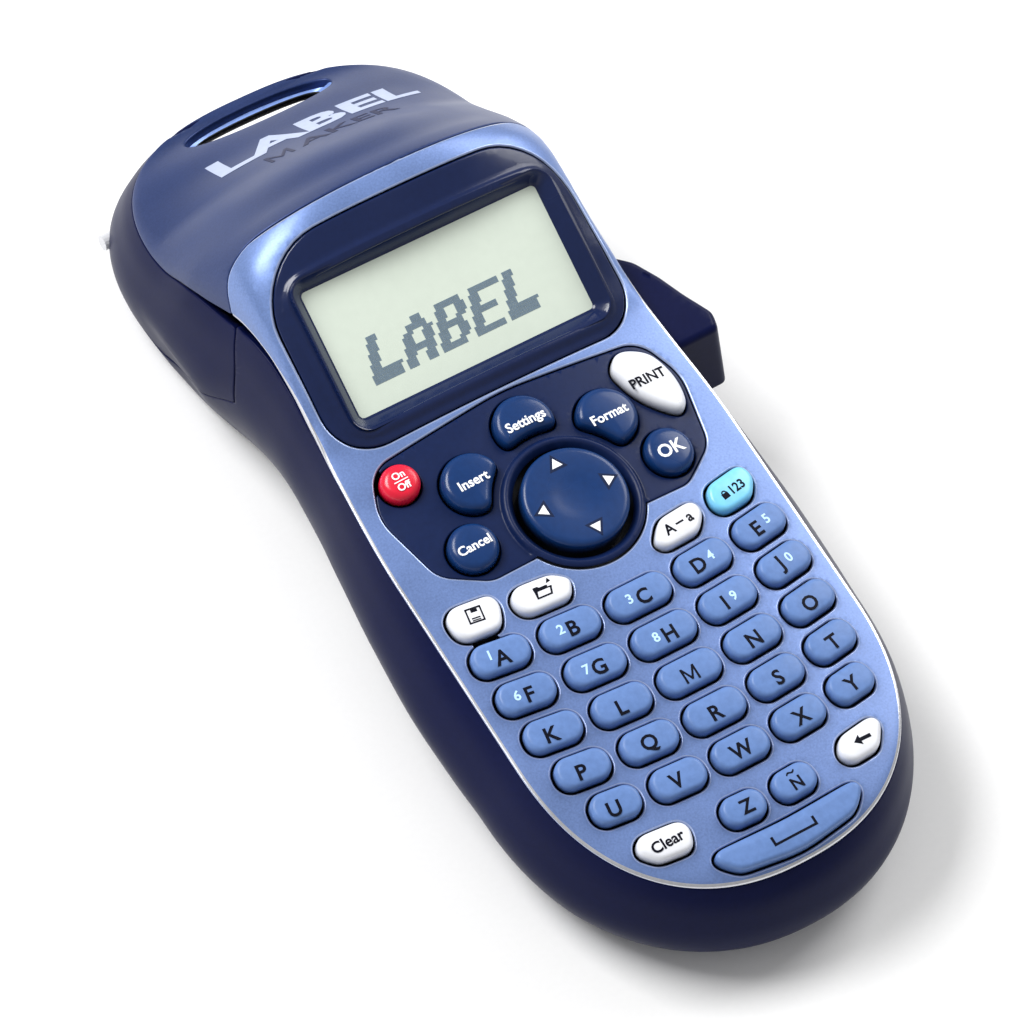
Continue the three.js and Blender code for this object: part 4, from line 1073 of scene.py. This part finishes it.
# The lever flares toward its foot: outward on its outer side, and toward the tail past FLARE_FROM.
FLARE_OUT, FLARE_BACK, FLARE_FROM = 2.0, 5.4, 80
share = np.clip((FLARE_FROM - verts[:, 1]) / 22, 0, 1) * (LEVER_TOP - verts[:, 2]) / (LEVER_TOP - LEVER_FOOT)
verts += np.c_[FLARE_OUT * share * np.clip((verts[:, 0] - 38) / 4, 0, 1), -FLARE_BACK * share, 0 * share]
faces += [tuple(start + int(i) for i in f) for f in cap_faces]
faces += [tuple(start + len(flat) + int(i) for i in f[::-1]) for f in cap_faces]
verts, which = welded(verts, 4)
piece("lever_body", verts, [tuple(which[list(f)]) for f in faces], NAVY, "lever", "navy_shell", "cutter_lever")


# ---- walls inside the tub and under the hood ----
def extruded(outline, low, high, lip, place):
    """A plate of the outline between two levels, its rims chamfered; place turns it into the deck frame."""
    outline = oriented(outline)
    levels = [(-lip, low), (0, low + lip), (0, high - lip), (-lip, high)]
    return lofted([place(at_level(grown(outline, d) if d else outline, z)) for d, z in levels])


def inner_wall(name, section, low, high):
    """A navy wall across the tub from its outline (x, z)."""
    verts, faces = extruded(section, low, high, LIP, lengthwise)
    piece(name, verts, [f[::-1] for f in faces], NAVY, "body", "navy_shell")


across = lambda p: p[:, [2, 0, 1]]  # outline drawn in (y, z), carried along x
lengthwise = lambda p: np.c_[p[:, 0], p[:, 2], p[:, 1]]  # outline drawn in (x, z), carried along y
side = wall_point(np.full(24, 91.8), np.linspace(0.02, 0.92, 24))[:, [0, 2]] - (2.6, 0)
inner_wall("bulkhead", resampled(np.vstack([side, side[::-1] * (-1, 1)]), 1.5), 90.9, 92.7)
end_low = float(floor_line(132.0)) + 0.3
end_section = rounded([(-27.0, end_low, 1), (27.0, end_low, 1), (31.5, -37.0, 1), (-31.5, -37.0, 1)], 4)
inner_wall("end_wall", resampled(end_section, 1.2), 131.2, 133.2)
for name, x0, x1, body in (("hinge_boss", -23, 23, "body"), ("hinge_ear_right", 27.6, 31.5, "hood"),
                           ("hinge_ear_left", -31.5, -27.6, "hood")):
    verts, faces = extruded(circle(3.4, 48, PIN_Y, PIN_Z), x0, x1, 0.4, across)
    piece(name, verts, faces, NAVY, body, "navy_shell", sharp=50)


# ---- legends ----
CAPITAL = 0.73  # height of the capitals of the built-in letters at size one


def word_mesh(text, height, width=None, bold=0.022):
    """Flat triangles of a word, centred on the origin, its capitals height millimetres tall."""
    curve = bpy.data.curves.new("word", "FONT")
    curve.body, curve.offset, curve.resolution_u = text, bold, 3
    holder = bpy.data.objects.new("word", curve)
    bpy.context.scene.collection.objects.link(holder)
    bpy.context.view_layer.update()
    shape = holder.evaluated_get(bpy.context.evaluated_depsgraph_get())
    mesh = shape.to_mesh()
    mesh.calc_loop_triangles()
    verts = np.array([v.co[:2] for v in mesh.vertices])
    faces = np.array([t.vertices[:] for t in mesh.loop_triangles])
    shape.to_mesh_clear()
    bpy.data.objects.remove(holder)
    bpy.data.curves.remove(curve)
    middle = (verts.min(axis=0) + verts.max(axis=0)) / 2
    size = height / CAPITAL
    scale = (width / np.ptp(verts[:, 0]), size) if width else (size, size)
    return (verts - middle) * scale, faces


def diced(verts, faces):
    """Every triangle cut into four."""
    a, b, c = verts[faces[:, 0]], verts[faces[:, 1]], verts[faces[:, 2]]
    ab, bc, ca = (a + b) / 2, (b + c) / 2, (c + a) / 2
    parts = [(a, ab, ca), (ab, b, bc), (ca, bc, c), (ab, bc, ca)]
    points = np.vstack([np.stack(p, 1).reshape(-1, 2) for p in parts])
    return points, np.arange(len(points)).reshape(-1, 3)


def ink(name, verts, faces, height, colour, body, slot, rounds=0, lift=0.05):
    """Printed letters as a thin layer lying on a surface of the given height."""
    for _ in range(rounds):
        verts, faces = diced(verts, faces)
    verts, which = welded(verts, 4)
    faces = which[faces]
    a, b, c = (verts[faces[:, k]] for k in range(3))
    turn = (b[:, 0] - a[:, 0]) * (c[:, 1] - a[:, 1]) - (b[:, 1] - a[:, 1]) * (c[:, 0] - a[:, 0])
    faces = np.where(turn[:, None] < 0, faces[:, ::-1], faces)[np.abs(turn) > 1e-7]
    raised = np.c_[verts, height(verts) + lift]
    over, under = raised, raised - (0, 0, lift + 0.03)
    count = len(over)
    edges = {(int(f[k]), int(f[(k + 1) % 3])): True for f in faces for k in range(3)}
    closed = [*map(tuple, faces), *(tuple(f[::-1] + count) for f in faces)]
    closed += [(b, a, a + count, b + count) for a, b in edges if (b, a) not in edges]
    piece(name, np.vstack([over, under]), closed, colour, body, slot, sharp=40)


def filled(outer, holes=()):
    """Flat triangles of an outline with holes."""
    return triangulated(oriented(np.array(outer, float)), [oriented(np.array(h, float)) for h in holes],
                        np.zeros((0, 2)))


def together(*parts):
    verts, faces, start = [], [], 0
    for v, f in parts:
        verts.append(v)
        faces.append(np.asarray(f) + start)
        start += len(v)
    return np.vstack(verts), np.vstack(faces)


def moved(shape, x, y):
    return shape[0] + (x, y), shape[1]


def bar(x, y, w, h):
    return filled([(x + i * w / 2, y + j * h / 2) for i, j in ((-1, -1), (1, -1), (1, 1), (-1, 1))])


def capital_m(height):
    """The letter M drawn as one outline."""
    half = [(0.5, 0.5), (0.5, -0.5), (0.36, -0.5), (0.36, 0.22), (0.05, -0.38)]
    outline = np.array(half + [(-x, y) for x, y in half[::-1]] + [(-0.36, 0.5), (0, -0.18), (0.36, 0.5)])
    return filled(outline * height)


BY_NAME = {cap["name"]: cap for cap in CAPS + BUTTONS}


def on_cap(name, suffix, shape, x, y, colour=LEGEND_DARK, turn=None):
    """Flat triangles printed on a key or button, turned with it unless a turn is given."""
    cap = BY_NAME[name]
    verts, faces = shape
    verts = turned(verts, x, y, cap["turn"] if turn is None else turn)
    ink(f"{name}_{suffix}", verts, faces, cap["top"], colour, cap["body"], cap["slot"])


SHIFT = np.array([-0.75, -0.63])  # from the places below to the middles of the printed letters and digits
LETTER_AT = {"A": (-27.25, 18.9), "B": (-13.4, 17.5), "C": (1, 16.75), "D": (13.4, 17.4), "E": (27.25, 18.9),
             "F": (-26.75, 10.5), "G": (-13.4, 8.9), "H": (1.25, 8.4), "I": (13.5, 8.9), "J": (27, 10.75),
             "K": (-27.4, 2.15), "L": (-14, 0.4), "M": (0.15, 0), "N": (14.25, 0.5), "O": (27.65, 2),
             "P": (-26.6, -6.5), "Q": (-13.4, -7.85), "R": (0.25, -8.4), "S": (14, -7.85), "T": (27.1, -6.4),
             "U": (-25.35, -15.15), "V": (-13, -16.1), "W": (0.35, -16.6), "X": (13.5, -16.15),
             "Y": (25.6, -14.85)}
for letter, at in LETTER_AT.items():
    shape = capital_m(2.9) if letter == "M" else word_mesh(letter, 2.9)
    on_cap(f"key_{letter.lower()}", "letter", shape, *(np.array(at) + SHIFT))
on_cap("key_z", "letter", word_mesh("Z", 2.7), -5.4, -26.7)
tilde = closed_curve([(-0.9, 1.75), (-0.45, 2.1), (0.3, 1.85), (0.8, 2.15), (0.85, 1.9), (0.35, 1.55),
                      (-0.4, 1.8), (-0.85, 1.5)], 4)
on_cap("key_n_tilde", "letter", together(moved(word_mesh("N", 2.3), 0, -0.35), filled(tilde)), 5.0, -26.8)
DIGIT_AT = {"1": ("a", -29.1, 20.25), "2": ("b", -15.6, 18.25), "3": ("c", -1.6, 17.4), "4": ("d", 16.25, 18.1),
            "5": ("e", 29.85, 19.85), "6": ("f", -28.9, 11.35), "7": ("g", -15.65, 9.5), "8": ("h", -1.4, 8.85),
            "9": ("i", 15.65, 9.4), "0": ("j", 29.25, 11.5)}
for digit, (letter, *at) in DIGIT_AT.items():
    on_cap(f"key_{letter}", "digit", word_mesh(digit, 1.9), *(np.array(at) + SHIFT), LEGEND_PALE)

bracket = [(-4.6, 1.0), (-4.6, -0.8), (4.6, -0.8), (4.6, 1.0), (4.1, 1.0), (4.1, -0.35), (-4.1, -0.35),
           (-4.1, 1.0)]
on_cap("key_space", "bracket", filled(bracket), -0.3, -34.6)
disk, shutter = ([(-r, -r), (r, -r), (r, r), (-r, r)] for r in (1.5, 1.2))
on_cap("key_save", "icon", together(filled(disk, [shutter]), bar(0.1, 0.85, 1.2, 0.6), bar(0, -0.6, 1.6, 0.25),
                                    bar(0, -1.0, 1.6, 0.2)), -28.0, 27.5)
folder = [(-1.6, -1.1), (1.4, -1.1), (1.9, 0.5), (1.1, 0.5), (1.1, 0.9), (-0.4, 0.9), (-0.7, 1.2), (-1.6, 1.2)]
pocket = [(-1.3, -0.8), (1.15, -0.8), (1.45, 0.25), (-1.0, 0.25)]
on_cap("key_recall", "icon", together(filled(folder, [pocket]), filled([(1.2, 1.2), (2.1, 1.4), (1.7, 2.1)])),
       -15.1, 25.4)
on_cap("key_caps", "icon", together(moved(word_mesh("A", 2.1), -2.3, 0), bar(0.15, 0.1, 1.7, 0.35),
                                    moved(word_mesh("a", 2.1), 2.4, -0.1)), 14.0, 25.4)
shackle = filled(np.vstack([circle(0.55, 16)[:9], circle(0.32, 16)[:9][::-1]]) + (0, 0.25))
on_cap("key_numlock", "icon", together(moved(shackle, -2.3, 0), bar(-2.3, -0.3, 1.4, 1.1),
                                       moved(word_mesh("123", 1.8), 0.7, 0)), 27.2, 27.0)
on_cap("key_clear", "word", word_mesh("Clear", 2.1), -21.2, -25.5, turn=0)
arrow = filled([(-1.8, 0), (-0.4, -1.0), (-0.4, -0.35), (1.8, -0.35), (1.8, 0.35), (-0.4, 0.35), (-0.4, 1.0)])
on_cap("key_backspace", "arrow", arrow, 20.4, -25.4, turn=0)

for word, size, x, y in (("Insert", 1.9, -14.6, 49.7), ("Settings", 1.9, 0, 55.2),
                         ("Format", 1.9, 14.5, 49.7), ("Cancel", 1.8, -21.1, 38.9), ("OK", 2.6, 21.0, 38.9)):
    on_cap(f"button_{word.lower()}", "word", word_mesh(word, size), x, y, LEGEND_WHITE)
on_off = together(moved(word_mesh("On", 1.4), 0, 1.15), bar(0, 0, 2.8, 0.2),
                  moved(word_mesh("Off", 1.4), 0, -1.15))
on_cap("button_on_off", "word", on_off, -25.9, 56.0, LEGEND_WHITE)
on_cap("button_print", "word", word_mesh("PRINT", 2.0), 25.1, 53.0)

PAD_HEIGHT, ARROW_REACH = 2.51, 7.0
for number in range(4):
    angle = number * math.pi / 2
    # The larger dark triangle under each white arrow is painted shade for the engraved groove round it.
    for grow, suffix, colour, lift in ((2.0, "groove_shade", GROOVE_SHADE, 0.02), (1.15, "arrow", LEGEND_WHITE, 0.05)):
        arrow = np.array([(0, 1), (-0.95, -0.6), (0.95, -0.6)]) * grow + (0, ARROW_REACH)
        ink(f"nav_{suffix}_{number}", *filled(turned(arrow, 0, NAV_Y, angle)),
            lambda p: np.full(len(p), PAD_HEIGHT), colour, "nav_disc_cap", "control_key", lift=lift)

letter, triangles = capital_m(2.5)
small = together(moved((letter * (2.0, 1), triangles), -11.6, 0),
                 moved(word_mesh("AKER", 2.5, width=21.5, bold=0.015), 3.2, 0))
for name, word, x, y, colour in (
        ("large", word_mesh("LABEL", 4.9, width=44.0, bold=0.035), 4.0, 131.3, HOOD_PALE),
        ("small", small, 3.5, 125.8, HOOD_DARK)):
    ink(f"hood_word_{name}", *moved(word, x, y), lambda p: plan_height(*p.T), colour, "hood", "hood_paint",
        rounds=3, lift=0.07)

# ---- carried-over nodes, floor, light and camera ----
INNER = {"cutter_blade": STEEL, "hinge_pin": WHITE_NUB, "batteries": CELL, "main_board": BOARD,
         "drive_motor": STEEL, "print_head": BLACK_AND_SHADE, "tape_cassette": CASSETTE, "platen_roller": ROLLER,
         "motor_pinion": WHITE}
for name, colour in INNER.items():
    node = frame["nodes"][name]
    node.data.materials.clear()
    node.data.materials.append(colour)

floor_mesh = bpy.data.meshes.new("floor")
floor_mesh.from_pydata([(-3, -3, 0), (3, -3, 0), (3, 3, 0), (-3, 3, 0)], [], [(0, 1, 2, 3)])
floor = bpy.data.objects.new("floor", floor_mesh)
bpy.context.scene.collection.objects.link(floor)
floor_mesh.materials.append(material("floor", (0.9, 0.9, 0.9, 1), 0.9, vary=0.01))

world = bpy.data.worlds.new("studio")
bpy.context.scene.world = world
world.use_nodes = True
world.node_tree.nodes["Background"].inputs["Color"].default_value = (1, 1, 1, 1)
world.node_tree.nodes["Background"].inputs["Strength"].default_value = 0.42
bpy.context.scene.view_settings.view_transform = "Standard"


def softbox(name, at, aim, size, power):
    light = bpy.data.lights.new(name, "AREA")
    light.shape = "RECTANGLE"
    light.size, light.size_y = size
    light.energy = power
    lamp = bpy.data.objects.new(name, light)
    lamp.location = at
    lamp.rotation_euler = (Vector(aim) - Vector(at)).to_track_quat("-Z", "Y").to_euler()
    bpy.context.scene.collection.objects.link(lamp)


MIDDLE = (0, 0, 0.03)
softbox("key_light", (-0.5, 0.6, 0.9), MIDDLE, (0.7, 0.5), 16)
softbox("fill_light", (0.7, 0.2, 0.6), MIDDLE, (0.5, 0.5), 5)

camera_data = bpy.data.cameras.new("camera")
camera_data.lens, camera_data.sensor_width = 212.9, 36  # a long lens, about 9 degrees across
camera = bpy.data.objects.new("camera", camera_data)
EYE = (-0.403015, -0.287884, 0.947921)  # the camera over the deck, in metres
right, up = Vector((0.83502, -0.525712, 0.162421)), Vector((0.41282, 0.793734, 0.446730))
turn = Matrix((right, up, right.cross(up))).transposed().to_4x4()
camera.matrix_world = DECK @ Matrix.Translation(EYE) @ turn
camera_data.clip_start, camera_data.clip_end = 0.05, 20
bpy.context.scene.collection.objects.link(camera)
bpy.context.scene.camera = camera
